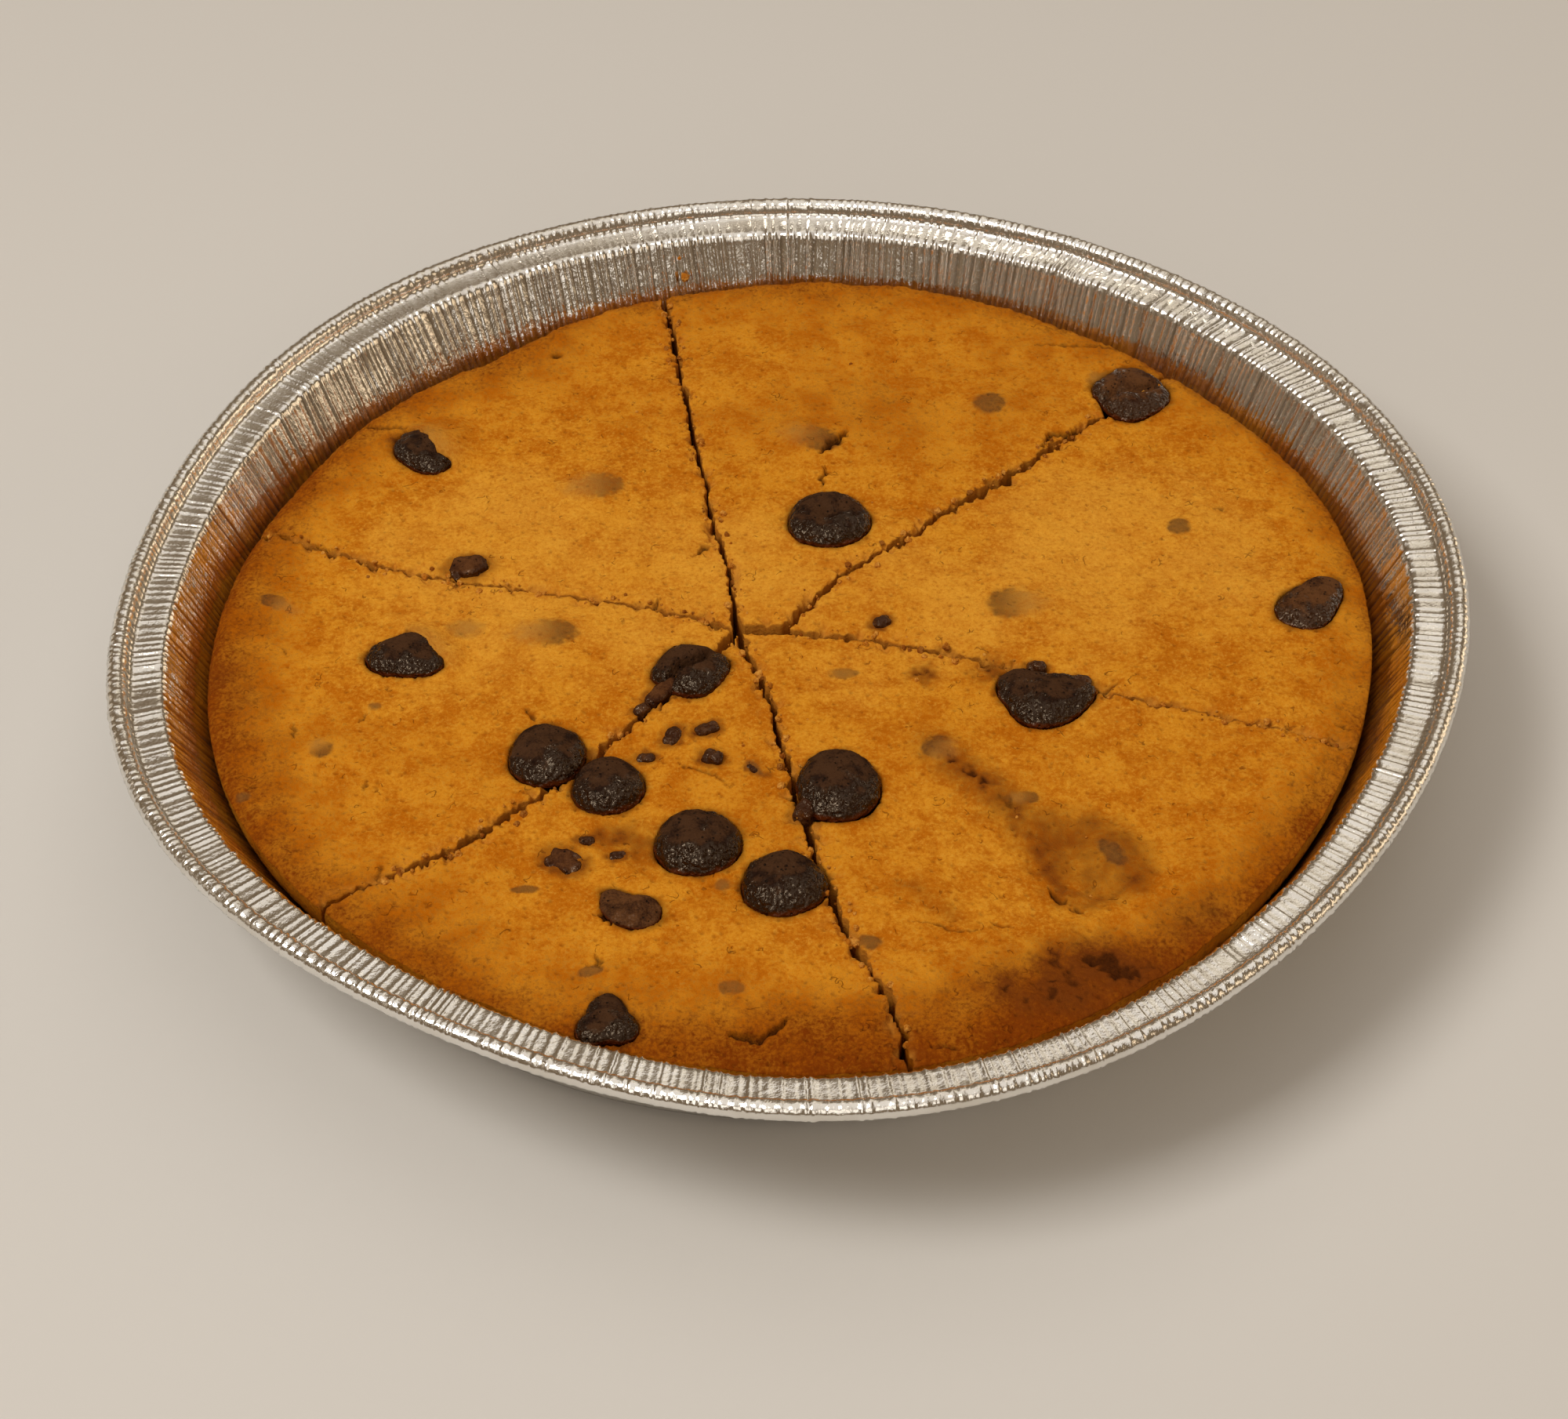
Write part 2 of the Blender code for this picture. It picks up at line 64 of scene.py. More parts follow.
class Wire:
    """An output socket of a node tree, or the tree itself while socket is None."""

    __add__ = __radd__ = operator("ADD")
    __sub__ = operator("SUBTRACT")
    __rsub__ = operator("SUBTRACT", swapped=True)
    __mul__ = __rmul__ = operator("MULTIPLY")
    __truediv__ = operator("DIVIDE")

    def __init__(self, tree, socket=None):
        self.tree = tree
        self.socket = socket

    def node(self, kind, settings=None, inputs=None, out=0):
        """Adds a node: first its settings, then a value or a link for each input."""
        made = self.tree.nodes.new(kind)
        for key, value in (settings or {}).items():
            setattr(made, key, value)
        for key, value in (inputs or {}).items():
            if isinstance(value, Wire):
                self.tree.links.new(value.socket, made.inputs[key])
            else:
                made.inputs[key].default_value = value
        return Wire(self.tree, made.outputs[out])

    def math(self, operation, *values, clamp=False):
        settings = {"operation": operation, "use_clamp": clamp}
        return self.node("ShaderNodeMath", settings, dict(enumerate(values)))

    def vector(self, operation, *values, **named):
        inputs = {**dict(enumerate(values)), **named}
        return self.node("ShaderNodeVectorMath", {"operation": operation}, inputs)

    def clamped(self):
        return self.math("ADD", self, 0.0, clamp=True)

    def step(self, low, high):
        """0 below low, 1 above high, and a smooth climb between them."""
        inputs = {"Value": self, "From Min": low, "From Max": high}
        return self.node("ShaderNodeMapRange", {"interpolation_type": "SMOOTHSTEP"}, inputs)

    def colour_mix(self, first, second):
        """Mixes two colours, with this value as the share of the second."""
        first, second = (c if isinstance(c, Wire) else (*c, 1.0) for c in (first, second))
        return self.node("ShaderNodeMix", {"data_type": "RGBA"}, {0: self, 6: first, 7: second}, out=2)

    def moved(self, offset):
        return self.vector("ADD", self, offset)

    def scaled(self, factors):
        return self.vector("MULTIPLY", self, factors)

    def texture(self, scale, detail=2.0, rough=0.5, out=0):
        inputs = {"Vector": self, "Scale": scale, "Detail": detail, "Roughness": rough}
        return self.node("ShaderNodeTexNoise", {}, inputs, out)

    def noise(self, size, detail=2.0, rough=0.5):
        """Noise with bumps of about this size in millimetres; self is the place."""
        return self.texture(1.0 / (size * MM), detail, rough)

    def warped(self, size, amount):
        """The place pushed about by noise, amount millimetres each way."""
        push = self.texture(1.0 / (size * MM), out="Color").moved((-0.5, -0.5, -0.5))
        return self.moved(push.scaled((2 * amount * MM,) * 3))

    def cells(self, size, feature="F1"):
        """Distance to the nearest of many scattered points, about this far apart in millimetres."""
        inputs = {"Vector": self, "Scale": 1.0 / (size * MM)}
        return self.node("ShaderNodeTexVoronoi", {"feature": feature}, inputs, out="Distance")

    def painted(self, name):
        """A number that a mesh stores on its points, for a material."""
        return self.node("ShaderNodeAttribute", {"attribute_name": name}, out="Fac")

    def stored(self, name):
        """The same number, for Geometry Nodes."""
        return self.node("GeometryNodeInputNamedAttribute", {"data_type": "FLOAT"}, {"Name": name})

    def bump(self, strength, depth, onto=None):
        """Turns this height, 0 to 1, into a bent normal; depth is in millimetres."""
        inputs = {"Strength": strength, "Distance": depth * MM, "Height": self}
        if onto:
            inputs["Normal"] = onto
        return self.node("ShaderNodeBump", {}, inputs)


def new_finish(name, **constants):
    """A material with a Principled shader. Returns it, its place on the object, and its shader."""
    made = bpy.data.materials.new(name)
    made.use_nodes = True
    shader = made.node_tree.nodes["Principled BSDF"]
    for socket, value in constants.items():
        shader.inputs[socket.replace("_", " ")].default_value = value
    tree = Wire(made.node_tree)
    place = tree.node("ShaderNodeTexCoord", out="Object")
    return made, place, shader


def feed(shader, **wires):
    """Links what varies over a surface to the shader's sockets."""
    for socket, wire in wires.items():
        wire.tree.links.new(wire.socket, shader.inputs[socket.replace("_", " ")])


print("sums ready: + - * / on sockets")

# %% [markdown]
# ## Noise for shapes
# A shape needs the same unevenness as a picture does, but on a mesh's points. Blender's own noise works
# one point at a time. Here half a million points are moved, so a small gradient noise is written with
# arrays instead. The random numbers come from the whole-number place itself, so each run is the same.

# %% Noise on arrays of points


def dice(column, row, seed):
    """A repeatable random number from 0 to 1 for each whole place."""
    mixed = (column.astype(np.int64) * 374761393 + row.astype(np.int64) * 668265263 + seed * 974711)
    mixed = mixed & 0xFFFFFFFF
    mixed = ((mixed ^ (mixed >> 13)) * 1274126177) & 0xFFFFFFFF
    return ((mixed ^ (mixed >> 16)) & 0xFFFF) / 65535.0


def ease(share):
    """A smooth climb from 0 to 1."""
    share = np.clip(share, 0.0, 1.0)
    return share * share * (3.0 - 2.0 * share)


def swell(x, y, size, seed):
    """Smooth noise from about -1 to 1, with bumps about size across."""
    u, v = x / size, y / size
    column, row = np.floor(u), np.floor(v)
    fu, fv = u - column, v - row
    total = 0.0
    for a in (0, 1):
        for b in (0, 1):
            turn = 2.0 * np.pi * dice(column + a, row + b, seed)
            slope = np.cos(turn) * (fu - a) + np.sin(turn) * (fv - b)
            total = total + slope * (ease(fu) if a else 1 - ease(fu)) * (ease(fv) if b else 1 - ease(fv))
    return 1.7 * total


def nearest(x, y, cell, seed):
    """Distance to the nearest of many scattered places, and that place's own random number."""
    column, row = np.floor(x / cell), np.floor(y / cell)
    best = np.full(x.shape, 1e9)
    own = np.zeros(x.shape)
    for a in (-1, 0, 1):
        for b in (-1, 0, 1):
            at_x = (column + a + dice(column + a, row + b, seed)) * cell
            at_y = (row + b + dice(column + a, row + b, seed + 1)) * cell
            away = np.hypot(x - at_x, y - at_y)
            closer = away < best
            best = np.where(closer, away, best)
            own = np.where(closer, dice(column + a, row + b, seed + 2), own)
    return best, own


def hill(distance, spread):
    """A smooth bump: 1 in the middle, fading over spread."""
    return np.exp(-0.5 * (distance / spread) ** 2)


def path_distance(x, y, path):
    """Distance to a line through points, and how far along it the nearest place is, 0 to 1."""
    best, where = np.full(x.shape, 1e9), np.zeros(x.shape)
    for i, ((x0, y0), (x1, y1)) in enumerate(zip(path, path[1:])):
        along = ((x - x0) * (x1 - x0) + (y - y0) * (y1 - y0)) / ((x1 - x0) ** 2 + (y1 - y0) ** 2)
        along = np.clip(along, 0.0, 1.0)
        away = np.hypot(x - x0 - along * (x1 - x0), y - y0 - along * (y1 - y0))
        where = np.where(away < best, (i + along) / (len(path) - 1), where)
        best = np.minimum(best, away)
    return best, where


def turned_about(x, y, at_x, at_y, degrees):
    """Places seen from a patch that is turned by an angle."""
    c, s = math.cos(math.radians(degrees)), math.sin(math.radians(degrees))
    return c * (x - at_x) + s * (y - at_y), c * (y - at_y) - s * (x - at_x)


def from_angle(angle, at):
    """Smallest difference from an angle, in degrees."""
    return (np.degrees(angle) - at + 180.0) % 360.0 - 180.0


def round_hill(angle, at, spread):
    """A hill in degrees round the pan or a chip."""
    return hill(from_angle(angle, at), spread)


def lengths_along(line):
    """How far along a line each of its points lies."""
    return np.concatenate([[0.0], np.cumsum(np.hypot(*np.diff(line, axis=0).T))])


def polar(radius, angle):
    """Places at a radius and an angle in radians."""
    return np.stack([radius * np.cos(angle), radius * np.sin(angle)], axis=-1)


def in_oval(x, y, at_x, at_y, half_x, half_y, turn):
    """Places as shares of an oval's half sizes, seen from its turned middle."""
    u, v = turned_about(x, y, at_x, at_y, turn)
    return u / half_x, v / half_y


print("noise ready, sample:", swell(np.array([1.0, 5.0]), np.array([2.0, 3.0]), 4.0, 1).round(3))

# %% [markdown]
# ## Meshes from arrays
# Meshes with a hundred thousand faces are slow to build one face at a time, so points and faces are
# handed over as whole arrays. Each piece then rides on the solid's one body, and the solids it stands for are
# hidden.

# %% Build and place a piece


def mesh_from(name, points, faces, material, smooth=True):
    """A new object from points in millimetres and faces that all have the same corner count."""
    mesh = bpy.data.meshes.new(name)
    faces = np.asarray(faces, dtype=np.int32)
    mesh.vertices.add(len(points))
    mesh.vertices.foreach_set("co", (np.asarray(points) * MM).astype(np.float32).ravel())
    mesh.loops.add(faces.size)
    mesh.loops.foreach_set("vertex_index", faces.ravel())
    mesh.polygons.add(len(faces))
    mesh.polygons.foreach_set("loop_start", np.arange(0, faces.size, faces.shape[1], dtype=np.int32))
    mesh.update(calc_edges=True)
    mesh.polygons.foreach_set("use_smooth", np.full(len(faces), smooth))
    mesh.materials.append(material)
    made = bpy.data.objects.new(name, mesh)
    bpy.context.scene.collection.objects.link(made)
    return made


def paint(piece, name, values):
    """Stores one number for each point, which a material can read."""
    layer = piece.data.attributes.new(name, "FLOAT", "POINT")
    layer.data.foreach_set("value", np.asarray(values, dtype=np.float32))


def sleeve(loops):
    """Quads between each closed loop of point numbers and the next."""
    return np.concatenate([np.stack([a, b, np.roll(b, -1), np.roll(a, -1)], axis=1)
                           for a, b in zip(loops, loops[1:])])


def halved(quads):
    """Two triangles for each quad."""
    return np.concatenate([quads[:, (0, 1, 2)], quads[:, (0, 2, 3)]])


def fan(centre, loop):
    """Triangles from one point to a closed loop."""
    return np.stack([np.full(len(loop), centre), loop, np.roll(loop, -1)], axis=1)


def numbered(first, rows, steps):
    """Point numbers of a grid, row by row."""
    return first + np.arange(rows * steps).reshape(rows, steps)


def dress(piece, slot, *nodes):
    """Puts a finished piece on the object and hides the solids that it stands for."""
    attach(piece, "root")
    if nodes:
        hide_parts(*nodes)
    triangles = sum(len(face.vertices) - 2 for face in piece.data.polygons)
    print(f"{piece.name}: {triangles} triangles")


# %% [markdown]
# ## Camera
# The camera stands where the photographer stood: half a metre away and looking down at about 43
# degrees. Its place was worked out from the two ovals that the round rim makes in the picture.

# %% Camera
LENS = 75.6
EYE = Vector((0.0, -393.69, 378.0))
LOOK_AT = Vector((-1.07, -20.27, 23.5))
ROLL = math.radians(-1.93)

forward = (LOOK_AT - EYE).normalized()
level = forward.cross(Vector((0, 0, 1))).normalized()
above = level.cross(forward)
right = level * math.cos(ROLL) + above * math.sin(ROLL)
up = above * math.cos(ROLL) - level * math.sin(ROLL)
camera = bpy.data.objects.new("camera", bpy.data.cameras.new("camera"))
camera.data.lens = LENS
camera.data.sensor_width = 36.0
camera.data.clip_start = 0.01
camera.matrix_world = Matrix.Translation(EYE * MM) @ Matrix((right, up, -forward)).transposed().to_4x4()
bpy.context.scene.collection.objects.link(camera)
bpy.context.scene.camera = camera
print("camera", round((EYE - LOOK_AT).length), "mm from the cookie")

# %% [markdown]
# ## Floor and light
# A plain pale floor keeps the eye on the food. One soft lamp at the front left gives the short shadow.
# Bright metal only looks like metal when it has something light and something dark to reflect. So a
# few dim panels stand where the flange, the rolled edge and the wall's pleats mirror them.

# %% Floor and lamps
FLOOR_HALF = 4500.0
FLOOR_PALE = (0.62, 0.60, 0.57)

pale, _, _ = new_finish("plain_floor", Base_Color=(*FLOOR_PALE, 1.0), Roughness=0.9)
corners = [(a * FLOOR_HALF, b * FLOOR_HALF, 0.0) for a, b in ((-1, -1), (1, -1), (1, 1), (-1, 1))]
floor = mesh_from("floor", corners, [(0, 1, 2, 3)], pale)

# Name, place in metres, width, height, watts, colour
LAMPS = (
    ("key", (-0.64, -0.35, 1.16), 0.50, 0.50, 9.7, (1.0, 0.97, 0.92)),
    ("overhead", (0.0, -0.02, 1.35), 1.5, 1.8, 6.0, (1.0, 0.98, 0.95)),
    ("back_left", (-0.25, 1.30, 1.25), 0.7, 1.1, 0.25, (1.0, 0.94, 0.82)),
    ("back_right", (0.50, 1.30, 1.25), 0.8, 1.1, 1.8, (1.0, 0.94, 0.82)),
    ("front_panel", (0.0, -1.35, 0.95), 1.1, 0.8, 3.4, (1.0, 0.96, 0.90)),
    ("right_panel", (1.30, -0.20, 0.60), 0.7, 0.5, 1.2, (1.0, 0.80, 0.56)),
    ("left_panel", (-1.30, -0.25, 0.60), 0.7, 0.5, 0.35, (1.0, 0.90, 0.76)),
    ("left_far", (-1.20, 1.05, 0.24), 0.5, 0.4, 0.5, (1.0, 0.90, 0.76)),
    ("right_far", (1.30, 0.55, 0.34), 0.9, 0.45, 1.8, (1.0, 0.80, 0.56)),
)
SKY_COLOUR = (1.0, 0.70, 0.42, 1.0)
SKY_STRENGTH = 0.18


def lamp(name, place, width, height, watts, colour):
    """A soft rectangular lamp that faces the cookie."""
    light = bpy.data.lights.new(name, "AREA")
    light.shape = "RECTANGLE"
    light.size = width
    light.size_y = height
    light.energy = watts
    light.color = colour
    made = bpy.data.objects.new(name, light)
    made.location = place
    made.rotation_mode = "QUATERNION"
    made.rotation_quaternion = (-Vector(place)).to_track_quat("-Z", "Y")
    bpy.context.scene.collection.objects.link(made)


for row in LAMPS:
    lamp(*row)
world = bpy.data.worlds.new("studio")
world.use_nodes = True
sky = world.node_tree.nodes["Background"].inputs
sky["Color"].default_value = SKY_COLOUR
sky["Strength"].default_value = SKY_STRENGTH
bpy.context.scene.world = world
bpy.context.scene.view_settings.view_transform = "Standard"
print(len(LAMPS), "lamps and a dim sky")

# %% [markdown]
# ## Foil
# Pan foil is rolled aluminium: bright, slightly brushed, with tiny creases that break the light up.
# The big pleats are real geometry. Only what is finer than a quarter of a millimetre is left to bump.

# %% Foil finish


def make_foil():
    foil, place, shader = new_finish("pan_foil", Metallic=1.0)
    grain = place.scaled((1.0, 1.0, 0.25)).noise(0.35, 3.0, 0.6)
    dimple = place.scaled((1.0, 1.0, 0.15)).noise(1.1, 3.0, 0.6)
    film = place.noise(14.0, 3.0, 0.6).step(0.35, 0.75)
    colour = film.colour_mix((0.84, 0.82, 0.78), (0.72, 0.68, 0.61))
    # Painted shade: the foil is darkened in its pleats' valleys, where the folds shade each other.
    colour = (place.painted("fold_shade") * 0.70).colour_mix(colour, (0.30, 0.23, 0.16))
    bent = dimple.bump(0.70, 0.24)
    bent = grain.bump(0.55, 0.05, onto=bent)
    feed(shader, Base_Color=colour, Roughness=0.11 + film * 0.08 + grain * 0.08, Normal=bent)
    return foil


foil = make_foil()
print("finish:", foil.name)

# %% [markdown]
# ## The pan's rim and wall
# The pan is one thin sheet, pressed into a round form. Its edge was never cut to fit, so the sheet
# gathers into hundreds of narrow pleats that run up the wall, over the corner and across the flange
# to the rolled edge. A turned profile gives the smooth form. These numbers are the solid's own, but
# for a slightly narrower roll.

# %% The pan's sizes
RIM_HEIGHT = 30.0
RIM_INNER_RADIUS = 98.8
FLOOR_RADIUS = 81.0
WALL_FOOT_RADIUS = 85.8
WALL_FOOT_HEIGHT = 4.0
BEAD_RADIUS = 1.55
BEAD_CENTRE_RADIUS = 105.6
BEAD_CENTRE_HEIGHT = 30.95
FOIL = 0.3
RIM_BENDS = ((2, 0.56, -45.0), (3, 0.61, 30.0), (4, 1.16, 17.7), (5, 0.66, -8.6), (6, 0.25, 22.0))
BEND_START = 1.5


def bent_out(angle, height):
    """How far handling bent the pan outwards, at an angle in radians and a height."""
    bend = sum(size * np.cos(waves * (angle - math.radians(crest))) for waves, size, crest in RIM_BENDS)
    return bend * np.clip(height / RIM_HEIGHT, 0.0, 1.0) ** BEND_START


def straight_wall(height):
    """The pan's inner radius before its pleats and bends."""
    climb = (height - WALL_FOOT_HEIGHT) / (RIM_HEIGHT - WALL_FOOT_HEIGHT)
    return WALL_FOOT_RADIUS + climb * (RIM_INNER_RADIUS - WALL_FOOT_RADIUS)


def bead_point(degrees):
    """A place on the rolled edge's round section."""
    angle = math.radians(degrees)
    return (BEAD_CENTRE_RADIUS + BEAD_RADIUS * math.cos(angle),
            BEAD_CENTRE_HEIGHT + BEAD_RADIUS * math.sin(angle))


print("pan:", 2 * (BEAD_CENTRE_RADIUS + BEAD_RADIUS), "mm across its rolled edge")

# %% [markdown]
# ## Pleats by Geometry Nodes
# Each pleat follows one rule, so Geometry Nodes make them. The tree reads how far round the pan a point
# is, counts pleats with it, and lifts the sheet along its normal into a narrow crest. Noise on the
# direction, not on the angle, keeps the last pleat meeting the first. Each pleat draws its own height
# from its number. The painted layers `pleat` and `crinkle` say how strong they may be at a point, and
# the tree stores how deep in a fold's valley each point lies, which the finish paints as shade.

# %% The pleat tree
PLEATS = 470
PLEAT_DEPTH = 0.42
CRINKLE_DEPTH = 0.38


def new_tree(name, sockets):
    """A Geometry Nodes tree with a geometry in and out, and named inputs as (name, kind, value)."""
    tree = bpy.data.node_groups.new(name, "GeometryNodeTree")
    tree.interface.new_socket("Geometry", in_out="INPUT", socket_type="NodeSocketGeometry")
    for title, kind, value in sockets:
        made = tree.interface.new_socket(title, in_out="INPUT", socket_type=kind)
        if value is not None:
            made.default_value = value
    tree.interface.new_socket("Geometry", in_out="OUTPUT", socket_type="NodeSocketGeometry")
    entry = tree.nodes.new("NodeGroupInput")
    return Wire(tree), {socket.name: Wire(tree, socket) for socket in entry.outputs if socket.name}


def end_tree(tree, geometry, material):
    """Realizes instances, sets the material, and hands the geometry out."""
    real = tree.node("GeometryNodeRealizeInstances", {}, {"Geometry": geometry})
    done = tree.node("GeometryNodeSetMaterial", {}, {"Geometry": real, "Material": material})
    leave = tree.tree.nodes.new("NodeGroupOutput")
    tree.tree.links.new(done.socket, leave.inputs[0])


def run_tree(piece, tree, **values):
    """Puts the tree on a piece, sets its inputs by their identifiers, and keeps the result."""
    modifier = piece.modifiers.new(tree.name, "NODES")
    modifier.node_group = tree
    ids = {item.name: item.identifier for item in tree.interface.items_tree if item.in_out == "INPUT"}
    for title, value in values.items():
        modifier[ids[title.replace("_", " ")]] = value
    graph = bpy.context.evaluated_depsgraph_get()
    mesh = bpy.data.meshes.new_from_object(piece.evaluated_get(graph))
    piece.modifiers.clear()
    piece.data = mesh


def make_pleat_tree():
    tree, given = new_tree("pleats", [
        ("Pleats", "NodeSocketFloat", float(PLEATS)), ("Depth", "NodeSocketFloat", PLEAT_DEPTH * MM),
        ("Wander", "NodeSocketFloat", 1.0), ("Lean", "NodeSocketFloat", 10.0),
        ("Crinkle", "NodeSocketFloat", CRINKLE_DEPTH * MM), ("Foil", "NodeSocketMaterial", None)])
    place = tree.node("GeometryNodeInputPosition")
    split = place.node("ShaderNodeSeparateXYZ", {}, {0: place})
    x, y, z = (Wire(tree.tree, socket) for socket in split.socket.node.outputs)
    towards = tree.vector("NORMALIZE", place.scaled((1.0, 1.0, 0.0)))
    wide, close = towards.texture(3.0, 1.0), towards.texture(32.0, 1.0)
    lean = (wide - 0.5) * given["Lean"] * (z / (RIM_HEIGHT * MM))
    count = tree.math("ARCTAN2", y, x) * given["Pleats"] / (2.0 * math.pi)
    count = count + (close - 0.5) * given["Wander"] + lean
    number = tree.math("FLOOR", count)
    share = count - number
    turn = tree.math("FLOORED_MODULO", number, given["Pleats"])
    own, crest = (tree.node("ShaderNodeTexWhiteNoise", {"noise_dimensions": "1D"}, {"W": turn + slip},
                            out="Value") for slip in (0.0, 0.37))
    crest = crest * 0.7 + 0.15
    climb = tree.math("MINIMUM", share / crest, (1.0 - share) / (1.0 - crest))
    ridge = tree.math("POWER", climb, 1.7)
    pleat, crinkle = tree.stored("pleat"), tree.stored("crinkle")
    creases = place.noise(1.15, 2.0, 0.6)
    lift = (ridge * (own * 0.9 + 0.35) - 0.4) * given["Depth"] * pleat
    lift = lift + (creases - 0.5) * given["Crinkle"] * crinkle
    # Painted shade: how deep in a fold's valley a point lies, for the finish to darken.
    fold_shade = (1.0 - ridge).step(0.45, 1.0) * pleat.step(0.45, 0.90) * (own * 0.7 + 0.3)
    kept = tree.node("GeometryNodeStoreNamedAttribute", {"data_type": "FLOAT", "domain": "POINT"},
                     {"Geometry": given["Geometry"], "Name": "fold_shade", "Value": fold_shade})
    normal = tree.node("GeometryNodeInputNormal")
    offset = tree.vector("SCALE", normal, Scale=lift)
    moved = tree.node("GeometryNodeSetPosition", {}, {"Geometry": kept, "Offset": offset})
    end_tree(tree, moved, given["Foil"])
    return tree.tree


pleat_tree = make_pleat_tree()
print("pleat tree:", len(pleat_tree.nodes), "nodes")

# %% Turn the profile into one pleated sheet
RIM_STEPS = 3100
WALL_ROWS = (2.6, 4.0, 7.0, 10.5, 14.0, 17.0, 19.0, 21.0, 23.0, 25.0, 26.6, 27.8, 28.7)
PLATE_RADIUS = FLOOR_RADIUS - 1.0
PLATE_STEPS = 240

# Dents from fingers: angle in degrees, height on the wall or 30 on the flange, radius, size, depth
DENTS = ((-51.4, 30.0, 101.0, 1.6, 0.7), (137.0, 26.5, 97.4, 1.3, 0.5), (-171.0, 30.0, 101.4, 2.6, 0.5),
         (-14.0, 30.0, 101.2, 2.0, 0.5), (60.0, 30.0, 101.2, 2.4, -0.4), (-95.0, 30.0, 101.0, 2.0, 0.4))


def wall_point(height):
    """Radius, height, pleat depth and crinkle of a place on the wall."""
    return straight_wall(height), height, float(ease((height - 2.0) / 8.0)), 0.05


def foil_sheet(profile):
    """Turns the profile about +Z and pleats it. Gives points, normals and painted fold shade, row by row."""
    angle = np.arange(RIM_STEPS) * 2.0 * np.pi / RIM_STEPS
    radius, height, pleat, crinkle = (profile[:, i][:, None] for i in range(4))
    far = radius + bent_out(angle, height)
    drop = sum(depth * hill(np.hypot(np.radians(from_angle(angle, at)) * far, height - up), size)
               * hill(radius - out, 1.5 * size) for at, up, out, size, depth in DENTS)
    points = np.stack([far * np.cos(angle), far * np.sin(angle), height - drop + 0.0 * angle], axis=-1)
    shape = (len(profile), RIM_STEPS)
    sheet = mesh_from("foil_sheet", points.reshape(-1, 3), sleeve(numbered(0, *shape)), foil)
    for layer, values in (("pleat", pleat), ("crinkle", crinkle)):
        paint(sheet, layer, np.broadcast_to(values, shape).ravel())
    run_tree(sheet, pleat_tree, Foil=foil)
    places, normals = (np.empty(points.size, dtype=np.float32) for _ in range(2))
    fold_shades = np.empty(points.size // 3, dtype=np.float32)
    sheet.data.vertices.foreach_get("co", places)
    sheet.data.vertex_normals.foreach_get("vector", normals)
    sheet.data.attributes["fold_shade"].data.foreach_get("value", fold_shades)
    bpy.data.objects.remove(sheet)
    return places.reshape(*shape, 3) / MM, normals.reshape(*shape, 3), fold_shades.reshape(shape)


def foil_band(name, upper, normals, fold_shades):
    """A closed ring of foil between two rows of the sheet."""
    rows, steps, _ = upper.shape
    lower = upper - FOIL * normals
    points = np.concatenate([upper, lower[::-1]])
    loops = numbered(0, 2 * rows, steps)
    band = mesh_from(name, points.reshape(-1, 3), sleeve([*loops, loops[0]]), foil)
    both = np.concatenate([normals, -normals[::-1]]).reshape(-1, 3)
    band.data.normals_split_custom_set_from_vertices(both.tolist())
    # Painted shade in the pleats' valleys, on the upper side only.
    paint(band, "fold_shade", np.concatenate([fold_shades, 0.0 * fold_shades]).ravel())
    dress(band, "foil", "pan")


def foil_floor():
    """The flat floor, out to where the wall's foot begins."""
    radii = np.array((12.0, 30.0, 50.0, 68.0, PLATE_RADIUS))[:, None]
    rings = polar(radii, np.arange(PLATE_STEPS) * 2.0 * np.pi / PLATE_STEPS).reshape(-1, 2)
    lower = np.concatenate([np.zeros((1, 3)), np.column_stack([rings, np.zeros(len(rings))])])
    loops = numbered(1, len(radii), PLATE_STEPS)
    top = np.concatenate([fan(0, loops[0]), halved(sleeve(loops))])
    edge = halved(sleeve([loops[-1], loops[-1] + len(lower)]))
    faces = np.concatenate([top, top[:, ::-1] + len(lower), edge])
    plate = mesh_from("pan_floor", np.concatenate([lower + (0, 0, FOIL), lower]), faces, foil, smooth=False)
    dress(plate, "foil", "pan")


profile = [(PLATE_RADIUS, FOIL, 0.0, 0.0), (FLOOR_RADIUS + 1.4, 0.7, 0.0, 0.0), (84.0, 1.6, 0.0, 0.0)]
profile += [wall_point(h) for h in WALL_ROWS]
profile += [(RIM_INNER_RADIUS - 0.3, 29.5, 0.80, 0.2), (RIM_INNER_RADIUS + 0.3, 29.95, 0.65, 0.15)]
profile += [(RIM_INNER_RADIUS + r, RIM_HEIGHT - 0.02 * r, 0.50, 0.12) for r in (1.0, 2.0, 3.1, 4.2)]
profile += [(103.75, 30.1, 0.45, 0.4), (104.0, 30.8, 0.35, 0.7)]
profile += [(*bead_point(a), 0.4, 0.75) for a in np.linspace(150.0, -120.0, 12)]
upper, normals, fold_shades = foil_sheet(np.array(profile))
foil_floor()
for name, first, last in (("pan_wall_foot", 0, 8), ("pan_wall", 8, 16), ("pan_flange", 16, 23),
                          ("pan_edge_roll", 23, len(profile) - 1)):
    foil_band(name, *(rows[first:last + 1] for rows in (upper, normals, fold_shades)))

# %% [markdown]
# ## The cookie's form
# The dough rose into a thick disc with a rounded shoulder. Its top is described by one function of
# place, so slices, chips, bits and crumbs all sit on the same surface. The function starts from the
# solid's numbers and adds what the solid leaves out: lumps, grain, pits and hairline cracks.

# %% The cookie's sizes
COOKIE_CENTRE = (0.7, -1.3)
COOKIE_RADIUS = 94.1
COOKIE_TOP = 23.5
COOKIE_BASE = 0.6
SHOULDER_DROP = 3.4
SHOULDER_WIDTH = 6.5
SIDE_ROOM = 0.95
EDGE_SWELLS = ((13, 15, 1.4), (38, 20, -1.0), (78, 15, 1.9), (125, 6, -2.6),
               (152, 12, -0.8), (-157, 15, 0.9), (-22, 18, -0.5))
WIDE_SHOULDER = (-50.0, 30.0, 8.0)

